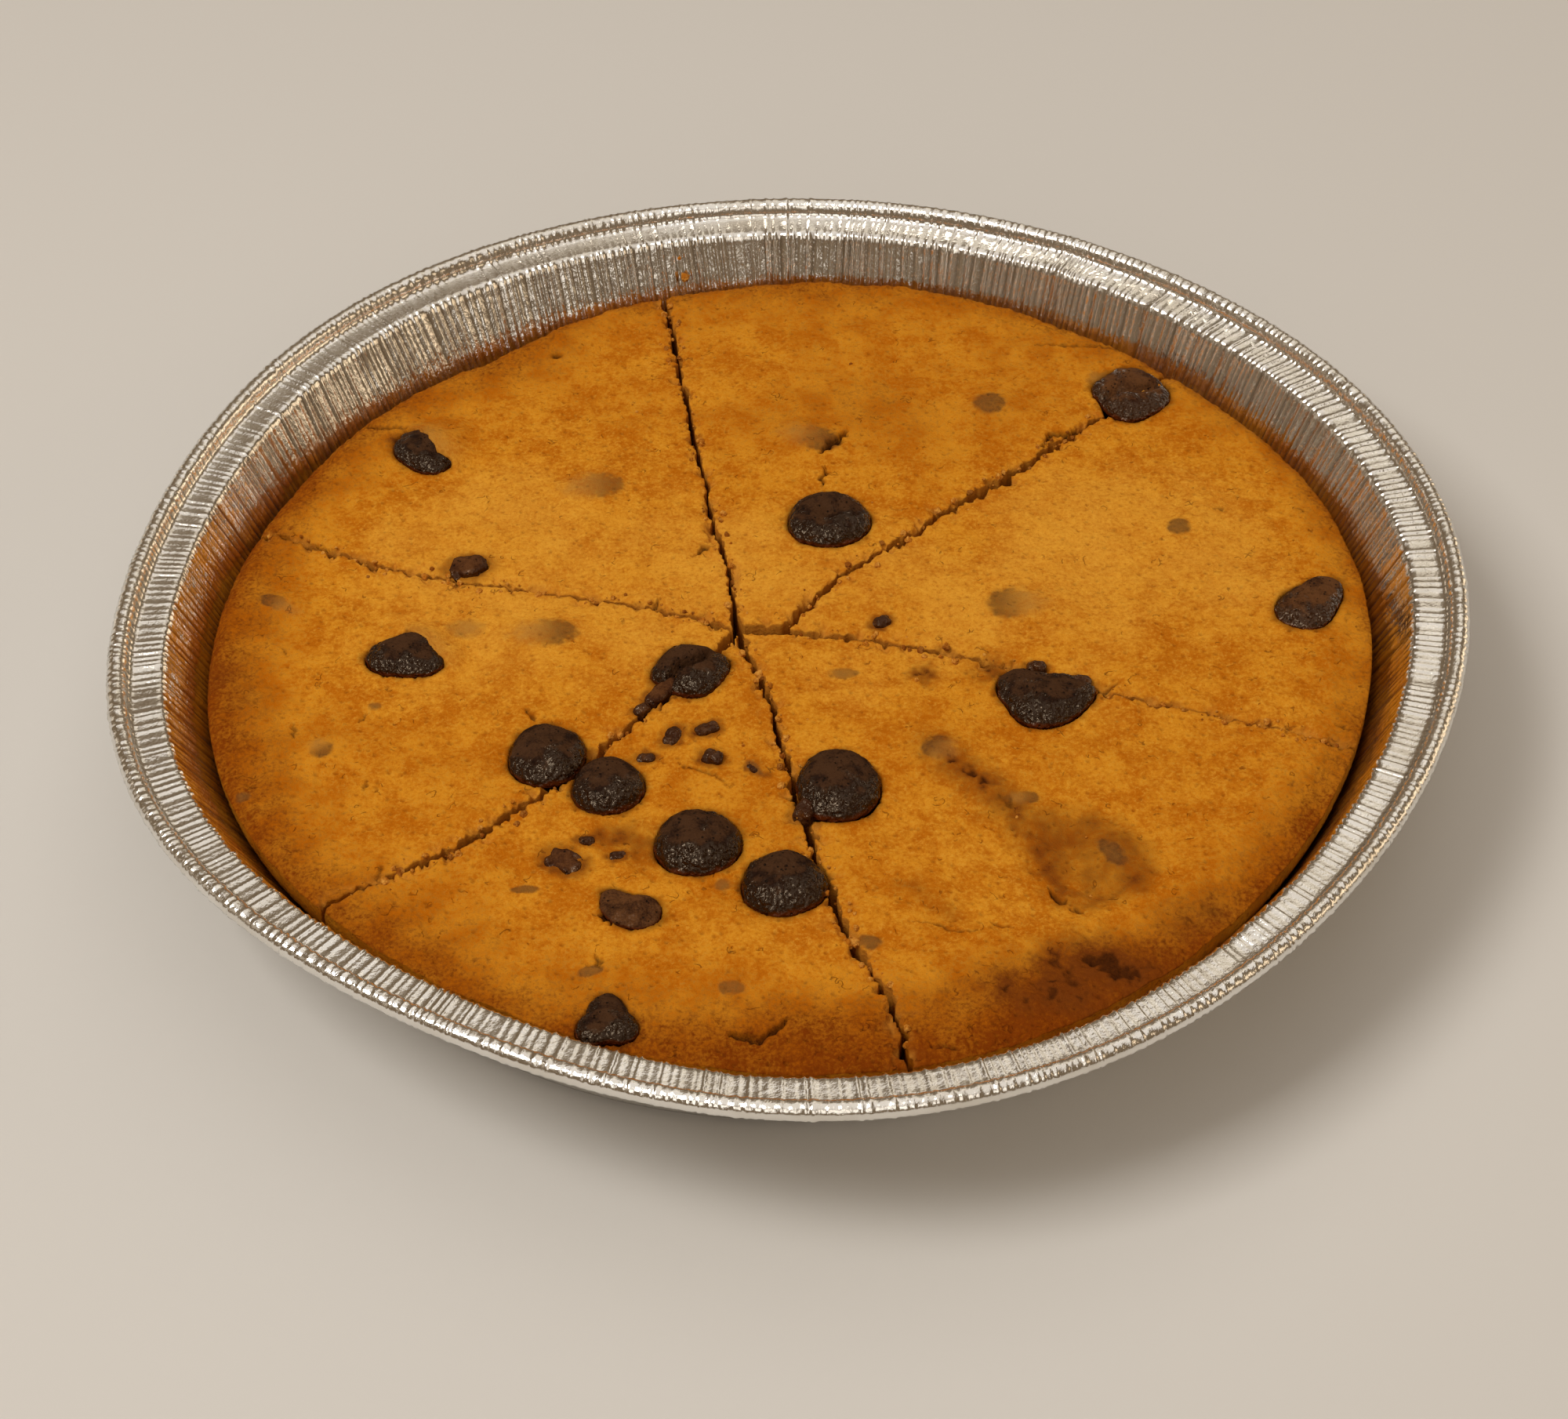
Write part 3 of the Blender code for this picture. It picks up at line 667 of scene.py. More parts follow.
# Swells and sunk places: x, y, half length, half width, turn, rise
SWELLS = (
    (-32.7, 34.7, 5.4, 3.6, 0, 0.9), (-39.8, -1.7, 5.4, 3.6, 0, 0.9),
    (37.3, 2.0, 4.8, 3.8, 0, 0.8), (35.8, 54.0, 3.2, 3.2, 0, 0.8),
    (64.9, 19.6, 2.6, 2.4, 0, 0.7), (4.3, 46.3, 5.6, 3.6, -25, 0.9),
    (47.2, -52.8, 3.4, 3.0, 60, 1.0), (22.9, -31.0, 3.6, 2.6, -40, 0.6),
    (-73.5, -25.6, 2.4, 2.4, 0, 0.5), (-82.3, 7.3, 3.4, 2.0, -20, 0.6),
    (42.0, -53.0, 13.0, 11.0, 0, -1.3), (38.0, -77.0, 12.0, 5.0, 12, -0.7),
    (0.0, 0.0, 52.0, 52.0, 0, 0.7), (-25.0, -48.6, 4.0, 3.4, 0, -0.5),
)

# Whole chips: x, y, half length, half width, turn, rise over the cookie, and their form
CHIPS = (
    (7.3, 24.2, 6.8, 6.7, 0, 3.0, "pitted"), (60.4, 55.9, 6.4, 6.9, 0, 2.0, "split"),
    (84.0, 0.2, 6.6, 5.2, 230, 1.5, "leaf"), (39.3, -19.6, 7.5, 6.6, -8, 2.3, "heart"),
    (6.8, -38.4, 6.4, 7.4, 0, 3.2, "drop"), (-1.9, -58.3, 6.3, 6.2, 0, 3.2, "drop"),
    (-14.6, -49.3, 6.5, 6.6, 0, 3.2, "drop"), (-28.3, -36.7, 5.5, 5.8, 0, 3.2, "drop"),
    (-37.9, -29.6, 5.9, 6.6, 0, 2.9, "drop"), (-15.7, -11.5, 6.1, 5.7, 28, 2.8, "split"),
    (-60.6, -5.3, 6.3, 5.9, 10, 2.1, "leaf"), (-60.2, 47.0, 5.7, 7.2, -20, 2.1, "leaf"),
    (-27.6, -84.0, 4.8, 4.4, 90, 1.8, "wedge"), (-24.4, -61.9, 4.9, 3.9, -35, 1.1, "crescent"),
)
CHIP_DEPTH = 2.6
CHIP_REACH = 14.0

# Chips partly under a skin of dough: number, side in degrees, where the skin starts as a share of the chip
COVERS = ((11, 38.0, 0.50), (12, 35.0, 0.02))


def edge_radius(angle):
    """Outer radius of the dough about the pan's centre."""
    cx, cy = COOKIE_CENTRE
    towards = cx * np.cos(angle) + cy * np.sin(angle)
    across = cx * np.sin(angle) - cy * np.cos(angle)
    radius = towards + np.sqrt(COOKIE_RADIUS ** 2 - across ** 2)
    return radius + sum(size * round_hill(angle, at, spread) for at, spread, size in EDGE_SWELLS)


def inset_share(x, y):
    """0 on the cookie's edge, 1 where its shoulder ends, and the distance in from the edge."""
    angle = np.arctan2(y, x)
    inset = np.maximum(edge_radius(angle) - np.hypot(x, y), 0.0)
    at, spread, added = WIDE_SHOULDER
    width = SHOULDER_WIDTH + added * round_hill(angle, at, spread)
    return np.minimum(inset / width, 1.0), inset


def plain_top(x, y):
    """The cookie's top without its fine relief, in millimetres over the table."""
    share, _ = inset_share(x, y)
    height = COOKIE_TOP - SHOULDER_DROP * (1.0 - np.sqrt(1.0 - (1.0 - share) ** 2.4))
    for *oval, rise in SWELLS:
        u, v = in_oval(x, y, *oval)
        height = height + rise * np.exp(-0.5 * (u ** 2 + v ** 2)) * share
    return height + 0.35 * swell(x, y, 17.0, 3) * share


def top_at(x, y):
    """The plain top's height at one place."""
    return float(plain_top(np.array(x), np.array(y)))


print("cookie top at its middle:", round(top_at(0.0, 0.0), 2), "mm")

# %% [markdown]
# ## Chips as shapes
# A baking chip softens in the oven and sets again as a low dome. Each has its own outline and dents.
# The same two functions shape the chip and the pocket it lies in, so they always fit.

# %% Outline and dents of a chip


def chip_outline(form, angle):
    """How far a chip's outline reaches at an angle, as a share of an ellipse."""
    if form == "heart":
        notch = 0.24 * round_hill(angle, 84, 20)
        tail = 0.16 * round_hill(angle, 14, 14)
        point = 0.10 * round_hill(angle, -98, 22) - 0.14 * round_hill(angle, -150, 24)
        return 0.97 - notch + tail + point + 0.08 * round_hill(angle, 140, 25)
    if form == "leaf":
        return 0.94 + 0.10 * np.cos(2 * angle) - 0.07 * np.cos(3 * angle)
    if form == "crescent":
        return 0.98 - 0.36 * round_hill(angle, 112, 30) + 0.12 * round_hill(angle, 170, 16)
    if form == "wedge":
        return 0.92 + 0.18 * np.cos(3 * angle)
    if form == "split":
        return 1.0 + 0.05 * np.cos(4 * angle + 0.6) - 0.10 * round_hill(angle, 190, 14)
    return 1.0 + 0.03 * np.cos(3 * angle + 1.0)


def chip_dent(form, u, v):
    """How far a chip's top is sunk, at a place from -1 to 1 each way."""
    if form == "pitted":
        return 0.5 * hill(np.hypot(u, v), 0.22)
    if form == "split":
        return 0.80 * hill(v - 0.25 * u + 0.08 * np.sin(5.0 * u), 0.11)
    if form == "heart":
        return 0.4 * hill(np.hypot(u + 0.15, v - 0.8), 0.35)
    if form == "leaf":
        return 0.25 * np.maximum(u, 0.0)
    return 0.0 * u


def chip_reach(x, y, chip):
    """1 on a chip's outline seen from above, less inside it, more outside."""
    *oval, _, form = chip
    u, v = in_oval(x, y, *oval)
    return np.hypot(u, v) / chip_outline(form, np.arctan2(v, u))


print("chips:", len(CHIPS))

# %% [markdown]
# ## Fine relief of the crust
# From close by, a baked crust has lumps a few millimetres wide, sugar grain, pits where butter boiled
# out, and hairline cracks. Each is a small function of place, and together they are the relief.
# Masks for colour come from the same functions, so a crack darkened with painted shade is also deep.

# %% Cracks, stains and skins

# Open cracks and hairlines: points along them, width and depth
CRACKS = (
    ([(6.9, 41.9), (8.2, 44.2), (9.4, 45.4), (11.1, 47.9)], 0.9, 1.6),
    ([(6.8, 38.2), (7.2, 36.4), (6.4, 35.4), (6.6, 33.0)], 0.5, 1.2),
    ([(-10.2, -86.6), (-8.6, -86.9), (-6.3, -87.7), (-3.5, -86.0), (-1.8, -84.3)], 0.9, 1.6),
    ([(-72.7, 54.7), (-68.6, 53.7), (-64.3, 53.4)], 0.6, 1.2),
    ([(-11.4, 19.1), (-13.4, 18.6), (-15.3, 16.2)], 0.5, 1.0),
    ([(44.1, 42.6), (45.0, 44.2), (45.6, 45.9), (48.2, 45.9), (50.6, 46.9)], 0.5, 1.1),
    ([(-20.4, 6.5), (-21.4, 4.8), (-21.1, 2.9)], 0.45, 1.0),
    ([(-18.3, -15.0), (-19.6, -17.0), (-20.1, -19.4)], 0.7, 1.4),
    ([(45.1, 71.5), (50.8, 70.4), (56.8, 70.2), (64.0, 66.2)], 0.5, 0.35),
    ([(71.0, 24.5), (72.4, 24.9), (73.2, 24.2)], 0.35, 0.6),
    ([(85.0, 24.0), (86.6, 23.4)], 0.3, 0.6),
    ([(76.0, -27.4), (78.0, -27.9)], 0.3, 0.6),
    ([(84.0, -27.2), (86.8, -28.2)], 0.3, 0.5),
    ([(37.2, -59.6), (38.2, -61.5), (38.9, -62.4), (39.6, -62.0)], 0.6, 1.1),
    ([(40.2, -64.0), (41.2, -64.4), (42.0, -65.2)], 0.5, 0.9),
    ([(-17.4, -32.5), (-14.7, -33.5), (-11.8, -34.8), (-9.6, -37.8)], 0.35, 0.5),
    ([(16.0, -66.1), (20.0, -66.6), (22.0, -67.9), (23.8, -68.5), (26.3, -68.3)], 0.35, 0.5),
    ([(28.0, -66.8), (29.5, -67.4), (31.7, -67.6)], 0.35, 0.5),
    ([(18.3, -89.6), (20.0, -89.8), (22.2, -90.3)], 0.4, 0.5),
    ([(-81.1, -2.4), (-80.1, -4.4)], 0.3, 0.5), ([(-41.8, -18.8), (-40.6, -19.9), (-40.0, -21.5)], 0.45, 0.7),
    ([(-77.9, -20.0), (-77.4, -23.8)], 0.35, 0.5), ([(-65.4, -33.2), (-65.6, -35.9)], 0.3, 0.5),
    ([(-67.5, -20.5), (-67.1, -19.1), (-65.8, -18.5)], 0.3, 0.5),
    ([(-61.9, -51.7), (-62.4, -53.8)], 0.4, 0.6),
    ([(-30.0, -62.9), (-28.5, -63.4), (-27.1, -65.4)], 0.5, 0.8),
    ([(-29.5, -70.9), (-28.6, -73.4)], 0.4, 0.7), ([(-79.5, 23.0), (-75.7, 21.3)], 0.4, 0.6),
    ([(45.6, -17.4), (47.4, -19.0), (49.5, -18.4), (51.6, -16.8)], 0.5, 0.8),
)
HOLE = (-39.3, 72.3, 1.0)
RIDGE = [(14.7, -77.0), (25.4, -75.8), (31.1, -73.3), (37.9, -70.5), (40.6, -68.2), (48.6, -64.4),
         (55.1, -61.5), (62.5, -55.9), (70.8, -46.2), (79.8, -34.3)]
RIDGE_REACH = ((-110, 79.0), (-95, 77.0), (-80, 77.6), (-68, 79.3), (-53, 81.0), (-42, 83.8),
               (-33, 84.6), (-15, 88.0))

# The sunk brown patch: x, y, half length, half width, turn. Then brown bands: points, spread, strength
SUNK = (43.4, -52.4, 12.0, 8.2, -42.0)
BANDS = (
    ([(33.1, -45.3), (36.4, -53.0), (39.2, -60.5), (41.3, -62.7)], 1.6, 0.9),
    ([(22.0, -30.5), (25.0, -34.5), (29.0, -38.5), (33.5, -43.5)], 2.2, 0.75),
    ([(46.3, -49.5), (48.6, -54.0), (50.8, -57.2), (50.2, -60.0), (42.5, -63.2)], 1.3, 0.8),
    ([(17.1, -59.1), (19.8, -61.7), (23.0, -65.0)], 1.3, 0.35),
    ([(-28.2, -47.4), (-25.0, -47.2), (-23.4, -49.8)], 2.0, 0.85),
    ([(-66.5, 49.5), (-63.5, 49.3)], 1.0, 0.9), ([(-6.4, -32.7), (-4.6, -35.1)], 0.7, 0.8),
)

# Burnt spots by the near right edge: x, y, half width, how black
BURNT = (
    (42.7, -73.9, 1.7, 1.0), (44.6, -74.9, 1.7, 1.0), (46.4, -76.2, 1.6, 1.0), (48.4, -77.4, 1.2, 0.9),
    (36.5, -78.0, 0.8, 1.0), (39.2, -78.2, 1.6, 0.7), (29.4, -79.6, 1.0, 0.9), (31.8, -81.8, 1.0, 0.7),
    (36.1, -80.6, 1.1, 0.8), (39.7, -82.0, 1.2, 0.7), (37.1, -73.9, 1.3, 0.7), (38.5, -76.0, 1.1, 0.7),
    (40.1, -71.6, 0.9, 0.6), (56.8, -67.4, 1.6, 0.5), (60.4, -65.2, 1.4, 0.5), (50.4, -75.6, 1.6, 0.5),
    (24.6, -33.5, 0.8, 0.9), (26.7, -35.8, 1.0, 0.9), (29.0, -38.1, 1.1, 0.9), (32.1, -42.1, 1.4, 0.7),
    (-90.0, -8.0, 1.2, 0.35), (-86.5, -13.5, 1.0, 0.35), (20.9, -13.9, 0.5, 0.9), (31.6, -13.2, 0.9, 0.9),
)

# Where the oven browned the edge more: angle and spread in degrees, how much
DARK_EDGES = ((-178.0, 22.0, 0.10), (-68.0, 14.0, 0.07), (10.0, 30.0, 0.08))

# Broken bits of chip: x, y, half length, half width, turn, rise
BITS = (
    (-13.2, -25.0, 1.9, 1.2, 20, 0.6), (-12.3, -31.3, 1.7, 1.3, -20, 1.0), (-18.4, -26.2, 2.0, 1.3, 60, 0.35),
    (-22.6, -30.4, 1.4, 1.0, 0, 0.3), (15.0, -1.2, 1.6, 1.1, 30, 0.5), (-52.3, 15.6, 3.0, 2.4, 10, 1.1),
    (-34.6, -51.8, 2.9, 2.1, -35, 0.35), (-31.4, -47.8, 1.3, 0.9, 0, 0.3), (-26.6, -51.1, 1.3, 0.9, 10, 0.3),
    (39.0, -13.4, 1.6, 1.1, -15, 1.2), (45.6, -16.6, 1.7, 1.1, -30, 1.0), (2.2, -42.8, 2.5, 1.7, 55, 1.1),
    (-20.2, -16.0, 3.2, 1.5, 48, 0.9), (-23.2, -19.8, 1.5, 0.9, 40, 0.6), (-6.2, -33.8, 1.1, 0.6, -55, 0.3),
)

# Chips just under a skin of dough: x, y, half length, half width, turn, how brown, side of the dark part
SKINS = (
    (-32.7, 34.7, 5.4, 3.3, 0, 0.55, 1), (-39.8, -1.7, 5.6, 3.3, 0, 0.70, 1),
    (37.3, 2.0, 4.8, 3.8, 0, 0.70, -1), (35.8, 54.0, 2.8, 2.8, 0, 0.75, 0),
    (64.9, 19.6, 2.0, 2.0, 0, 0.75, 0), (4.3, 46.3, 5.4, 3.2, -25, 0.75, 1),
    (8.4, -12.8, 2.6, 1.2, 0, 0.45, 0), (-73.2, -26.2, 2.2, 1.9, -60, 0.75, 1),
    (-82.3, 7.3, 4.0, 1.5, -35, 0.80, -1), (-84.2, -36.0, 1.2, 1.0, 0, 0.6, 0),
    (-30.2, -74.0, 2.0, 1.0, 15, 0.65, 0), (-9.8, -78.1, 1.9, 1.3, 0, 0.55, 0),
    (34.6, -41.3, 2.4, 1.4, 0, 0.70, 1), (-40.2, -57.5, 2.2, 0.8, 0, 0.75, 0),
    (10.2, -70.0, 2.0, 1.3, -20, 0.75, 0), (22.9, -31.0, 2.8, 2.6, -40, 0.70, -1),
    (47.3, -53.2, 3.2, 1.6, -62, 0.75, 0), (-10.9, -57.9, 1.4, 1.2, 0, 0.5, 0),
    (-65.3, -17.0, 1.1, 0.9, 0, 0.6, 0), (-52.0, 0.5, 3.2, 2.4, 0, 0.15, 0),
    (55.5, 60.5, 2.4, 2.0, 0, 0.3, 0), (-6.0, -33.6, 2.0, 0.8, -55, 0.6, 0),
)


def chip_places(x, y):
    """Depth of the chips' pockets, how near the nearest chip is, and how much a skin covers it."""
    pocket, near, cover = (np.zeros(x.shape) for _ in range(3))
    covers = {number: (side, start) for number, side, start in COVERS}
    for number, chip in enumerate(CHIPS, 1):
        around = np.hypot(x - chip[0], y - chip[1]) < CHIP_REACH
        if not around.any():
            continue
        px, py = x[around], y[around]
        reach = chip_reach(px, py, chip)
        size = 0.5 * (chip[2] + chip[3])
        inside = np.clip(1.04 - reach, 0.0, 1.0)
        melt = 0.5 + 0.5 * swell(px, py, 2.2, 25)
        edge = hill(np.maximum(reach - 1.0, 0.0) * size, 0.30 + 0.55 * melt) * (0.55 + 0.45 * melt)
        carved = np.minimum(inside * 14.0, CHIP_DEPTH + 0.6)
        if number in covers:
            side, start = covers[number]
            u, _ = turned_about(px, py, chip[0], chip[1], side)
            over = ease((u / size - start + 0.10 * swell(px, py, 2.4, 26)) / 0.10 + 0.5)
            dome = np.clip(1.0 - (reach / 1.6) ** 2, 0.0, 1.0) ** 1.6
            fade = hill(u / size - start, 0.42)
            cover[around] = np.maximum(cover[around], over * dome * fade)
            carved = carved * (1.0 - over) - over * dome * (chip[5] + 0.35)
            edge = edge * (1.0 - over)
        pocket[around] = np.where(np.abs(carved) > np.abs(pocket[around]), carved, pocket[around])
        near[around] = np.maximum(near[around], edge)
    return pocket, near, cover


def crust_masks(x, y):
    """Everything that colours or carves the crust at a place, as named arrays."""
    _, inset = inset_share(x, y)
    angle = np.arctan2(y, x)
    wander_x = x + 0.45 * swell(x, y, 1.3, 21) + 0.2 * swell(x, y, 0.6, 23)
    wander_y = y + 0.45 * swell(x, y, 1.3, 22) + 0.2 * swell(x, y, 0.6, 24)
    crack, carve = np.zeros(x.shape), np.zeros(x.shape)
    for path, width, depth in CRACKS:
        away, along = path_distance(wander_x, wander_y, path)
        thin = width * (0.30 + 0.70 * np.sin(np.pi * np.clip(along, 0.04, 0.96)))
        mark = hill(away, 0.5 * thin)
        crack = np.maximum(crack, mark * min(0.35 + 0.6 * depth, 1.0))
        carve = np.maximum(carve, mark * depth)
    hole = hill(np.hypot(x - HOLE[0], (y - HOLE[1]) * 1.2), 0.55 * HOLE[2])
    pit, pit_own = nearest(x, y, 2.3, 41)
    pits = ease(1.0 - pit / (0.20 + 0.34 * pit_own)) * (pit_own > 0.5)
    ridge_away, _ = path_distance(x, y, RIDGE)
    at, reach = zip(*RIDGE_REACH)
    degrees = np.degrees(angle)
    past = np.hypot(x, y) - np.interp(degrees, at, reach) + 1.6 * swell(x, y, 7.0, 54) + swell(x, y, 2.4, 55)
    beyond = ease(past / 9.0 + 0.35) * ease((degrees + 118.0) / 26.0) * ease((-8.0 - degrees) / 26.0)
    round_sunk = np.hypot(*in_oval(x, y, *SUNK)) + 0.10 * swell(x, y, 3.5, 51) + 0.05 * swell(x, y, 1.4, 52)
    round_sunk = round_sunk + 0.16 * swell(x, y, 6.0, 56)
    patchy = 0.80 + 0.30 * swell(x, y, 4.0, 57) + 0.20 * swell(x, y, 1.7, 58)
    sunk = 0.72 * ease((1.2 - round_sunk) / 0.6) * patchy
    for path, spread, strength in BANDS:
        away, _ = path_distance(wander_x + swell(x, y, 3.0, 59), wander_y + swell(x, y, 3.0, 60), path)
        sunk = np.maximum(sunk, strength * hill(away, spread) * patchy)
    for at_x, at_y, half_x, half_y, turn, _ in BITS:
        u, v = in_oval(wander_x, wander_y, at_x, at_y, half_x + 0.2, half_y + 0.2, turn)
        away = np.maximum(np.hypot(u, v) - 1.0, 0.0)
        sunk = np.maximum(sunk, 0.85 * hill(away, 0.35) * patchy)
    burnt, halo = np.zeros(x.shape), np.zeros(x.shape)
    slip_x = x + 1.3 * swell(x, y, 2.6, 61) + 0.7 * swell(x, y, 1.0, 63)
    slip_y = y + 1.0 * swell(x, y, 2.6, 62) + 0.7 * swell(x, y, 1.0, 64)
    for at_x, at_y, half, black in BURNT:
        away = np.hypot(slip_x - at_x, slip_y - at_y)
        burnt = burnt + black * hill(away, 0.62 * half)
        halo = np.maximum(halo, black * hill(away, 1.3 * half + 0.8))
    burnt = ease((burnt - 0.22) / 0.65)
    scorched = hill(np.hypot((slip_x - 41.0) / 13.0, (slip_y + 78.0) / 6.0), 0.75)
    sunk = np.clip(np.maximum(sunk, halo) + 0.45 * scorched * patchy, 0.0, 1.0)
    skin, brown = np.zeros(x.shape), np.zeros(x.shape)
    ragged = 0.22 * swell(x, y, 1.5, 71) + 0.10 * swell(x, y, 0.7, 72)
    for *oval, dark, side in SKINS:
        u, v = in_oval(x, y, *oval)
        skin = np.maximum(skin, ease(1.30 - np.hypot(u, v) + ragged))
        away = np.hypot((u - 0.30 * side) / (0.80 if side else 1.0), v) * 1.1
        towards = ease(0.35 + 0.8 * u * side) if side else 0.9
        rim = 0.5 * hill(away - 1.0, 0.10) * towards
        brown = np.maximum(brown, dark * np.clip(ease((1.10 - away + ragged) * 3.5) * towards + rim, 0, 1))
    return {"inset": inset, "angle": angle, "crack": crack, "carve": carve,
            "hole": hole, "pits": pits, "ridge": hill(ridge_away, 2.2), "beyond": beyond, "sunk": sunk,
            "burnt": burnt, "scorched": scorched, "skin": skin, "brown": brown}


def crust_relief(x, y, m):
    """Height that the masks and the fine grain add to the plain top."""
    lumps = 0.22 * swell(x, y, 6.0, 81) + 0.14 * swell(x, y, 2.6, 82)
    grain = 0.07 * swell(x, y, 1.2, 83) + 0.05 * swell(x, y, 0.65, 84)
    rough = 1.0 + 2.2 * np.exp(-m["inset"] / 9.0) + 1.5 * m["burnt"]
    smooth = 1.0 - 0.6 * m["skin"]
    relief = lumps * smooth + grain * rough * smooth
    relief = relief - m["carve"] - 1.4 * m["hole"] - 0.30 * m["pits"] * smooth
    lip = 0.55 * hill(m["inset"] - 2.6, 1.3) * (0.5 + swell(x, y, 8.0, 85))
    return relief + 0.35 * m["ridge"] - 0.25 * m["burnt"] + lip


def toast_of(x, y, m):
    """How brown the oven made the crust, from 0 to 1."""
    near = 0.5 + 0.5 * np.cos(m["angle"] + np.radians(150.0))
    width = 6.0 + 8.5 * near
    strength = 0.57 + 0.18 * near
    for at, spread, more in DARK_EDGES:
        strength = strength + more * round_hill(m["angle"], at, spread)
    rim = np.exp(-(m["inset"] / width) ** 1.5) * strength
    patches = 0.13 * swell(x, y, 19.0, 91) + 0.08 * swell(x, y, 7.0, 92)
    patches = patches + 0.34 * hill(np.hypot(x - 15.0, y - 52.0), 20.0)
    pale = 0.30 * ease((y + 35.0) / 50.0) * ease((56.0 - y) / 34.0) * ease(m["inset"] / 24.0)
    return np.clip(rim + patches - pale + 0.22 * m["beyond"] + 0.30 * m["scorched"] + 0.06, -0.4, 1.0)


print("cracks:", len(CRACKS), "skinned chips:", len(SKINS))

# %% [markdown]
# ## Crust, crumb and chocolate
# A baked crust isn't one brown. It runs from pale tan where the dough was thick to red-brown at the
# rim, with darker specks of sugar, and greyish where a chip lies just under the skin. The broad zones
# are painted on the points by the functions above. The shader adds what is finer than the mesh.

# %% Crust finish


def make_crust():
    crust, place, shader = new_finish("baked_crust", Specular_IOR_Level=0.02)
    toast, stain_and_shade, skin, brown, inside, sunk = (
        place.painted(layer) for layer in ("toast", "stain_and_shade", "skin", "brown", "inside", "sunk"))
    blotch = place.noise(8.0, 3.0, 0.6)
    mottle = place.warped(1.5, 0.5).noise(2.4, 3.0, 0.65)
    grain = place.noise(0.60, 3.0, 0.7)
    fine = place.noise(0.28, 2.0, 0.6)
    speck = place.warped(1.0, 0.4).cells(1.25)
    level = place.math("ABSOLUTE", place.noise(3.2, 2.0, 0.55) - 0.5)
    # Hairline cracks: painted shade in the colour, and sunk by the bump.
    shaded_hairlines = (1.0 - level.step(0.004, 0.014)) * place.moved((0.1, 0.2, 0.3)).noise(2.6, 1.0).step(0.64, 0.70)
    drift = (blotch * 0.60 + mottle * 0.40).step(0.38, 0.62)
    tan = drift.colour_mix((0.45, 0.128, 0.0035), (0.60, 0.235, 0.014))
    pale = (0.0 - toast + (mottle - 0.5) * 0.3).step(-0.05, 0.40)
    tan = (pale * 0.75).colour_mix(tan, (0.69, 0.315, 0.032))
    tan = (grain.step(0.48, 0.76) * 0.45).colour_mix(tan, (0.76, 0.39, 0.050))
    tan = ((1.0 - grain.step(0.28, 0.50)) * 0.42).colour_mix(tan, (0.34, 0.078, 0.002))
    browned = (toast * 0.92 + (mottle - 0.5) * 0.60 + (grain - 0.5) * 1.1).step(0.14, 1.0)
    colour = browned.colour_mix(tan, (0.185, 0.036, 0.0015))
    dots = (1.0 - speck.step(0.08, 0.22)) * ((mottle - 0.50) * 2.0 + toast * 0.9).clamped()
    for share, over in (
            (sunk * (0.55 + grain * 0.9), (0.150, 0.036, 0.004)), (dots * 0.5, (0.15, 0.028, 0.002)),
            (shaded_hairlines * 0.5, (0.11, 0.022, 0.002)),
            ((skin * (0.35 + mottle * 0.9)).clamped() * 0.60, (0.34, 0.160, 0.036)),
            (brown * (0.40 + grain * 1.0), (0.085, 0.030, 0.009)),
            (inside * (0.45 + grain * 0.8), (0.50, 0.205, 0.026)),
            # real stains, and painted shade in cracks, holes and pits
            (stain_and_shade * (0.60 + grain * 0.8), (0.035, 0.009, 0.002))):
        colour = share.clamped().colour_mix(colour, over)
    height = mottle * 0.45 + grain * 0.45 + fine * 0.25 - dots * 0.25 - shaded_hairlines * 0.4
    feed(shader, Base_Color=colour, Roughness=0.85 - brown * 0.3, Normal=height.bump(1.0, 0.30))
    return crust


def make_chocolate(name, deep, light):
    """Baked chocolate: dull brown on its crown, nearly black and glossy where it blistered."""
    chocolate, place, dull = new_finish(name, Specular_IOR_Level=0.08, Roughness=0.75)
    matt, edge = place.painted("matt"), place.painted("edge")
    patch = place.noise(2.4, 3.0, 0.6)
    froth = place.warped(0.8, 0.15).cells(0.55, "SMOOTH_F1")
    fine = place.noise(0.30, 2.0, 0.6)
    pits = 1.0 - place.moved((0.2, 0.3, 0.1)).cells(1.05).step(0.10, 0.22)
    brown = (matt * 0.80 + (patch - 0.5) * 1.8 + (fine - 0.5) * 0.8).step(0.10, 0.95)
    colour = brown.colour_mix(deep, light)
    colour = (edge * 0.8).colour_mix(colour, (0.085, 0.015, 0.002))
    # Painted shade: the pits are darkened to nearly black.
    colour = (pits * 0.85).colour_mix(colour, (0.005, 0.002, 0.001))
    height = (1.0 - froth) * (1.0 - matt * 0.6) - pits * 0.5 + fine * 0.25
    bent = height.bump(0.9, 0.32)
    feed(dull, Base_Color=colour, Normal=bent)
    wet = place.node("ShaderNodeBsdfPrincipled", {}, {
        "Base Color": colour, "Normal": bent, "Roughness": fine * 0.16 + 0.04,
        "Specular IOR Level": 0.38, "Specular Tint": (1.0, 0.80, 0.58, 1.0)})
    share = ((1.0 - matt) * 0.9 + (patch - 0.5) * 0.9 - edge * 0.2).step(0.20, 0.85)
    both = place.node("ShaderNodeMixShader", {}, {0: share, 1: Wire(place.tree, dull.outputs[0]), 2: wet})
    output = next(node for node in place.tree.nodes if node.type == "OUTPUT_MATERIAL")
    place.tree.links.new(both.socket, output.inputs["Surface"])
    return chocolate


crust = make_crust()
dark_chocolate = make_chocolate("baked_chocolate", (0.015, 0.0050, 0.0018), (0.056, 0.023, 0.0085))
dull_chocolate = make_chocolate("dull_chocolate", (0.030, 0.0095, 0.0028), (0.105, 0.040, 0.012))
print("finishes:", crust.name, dark_chocolate.name, dull_chocolate.name)

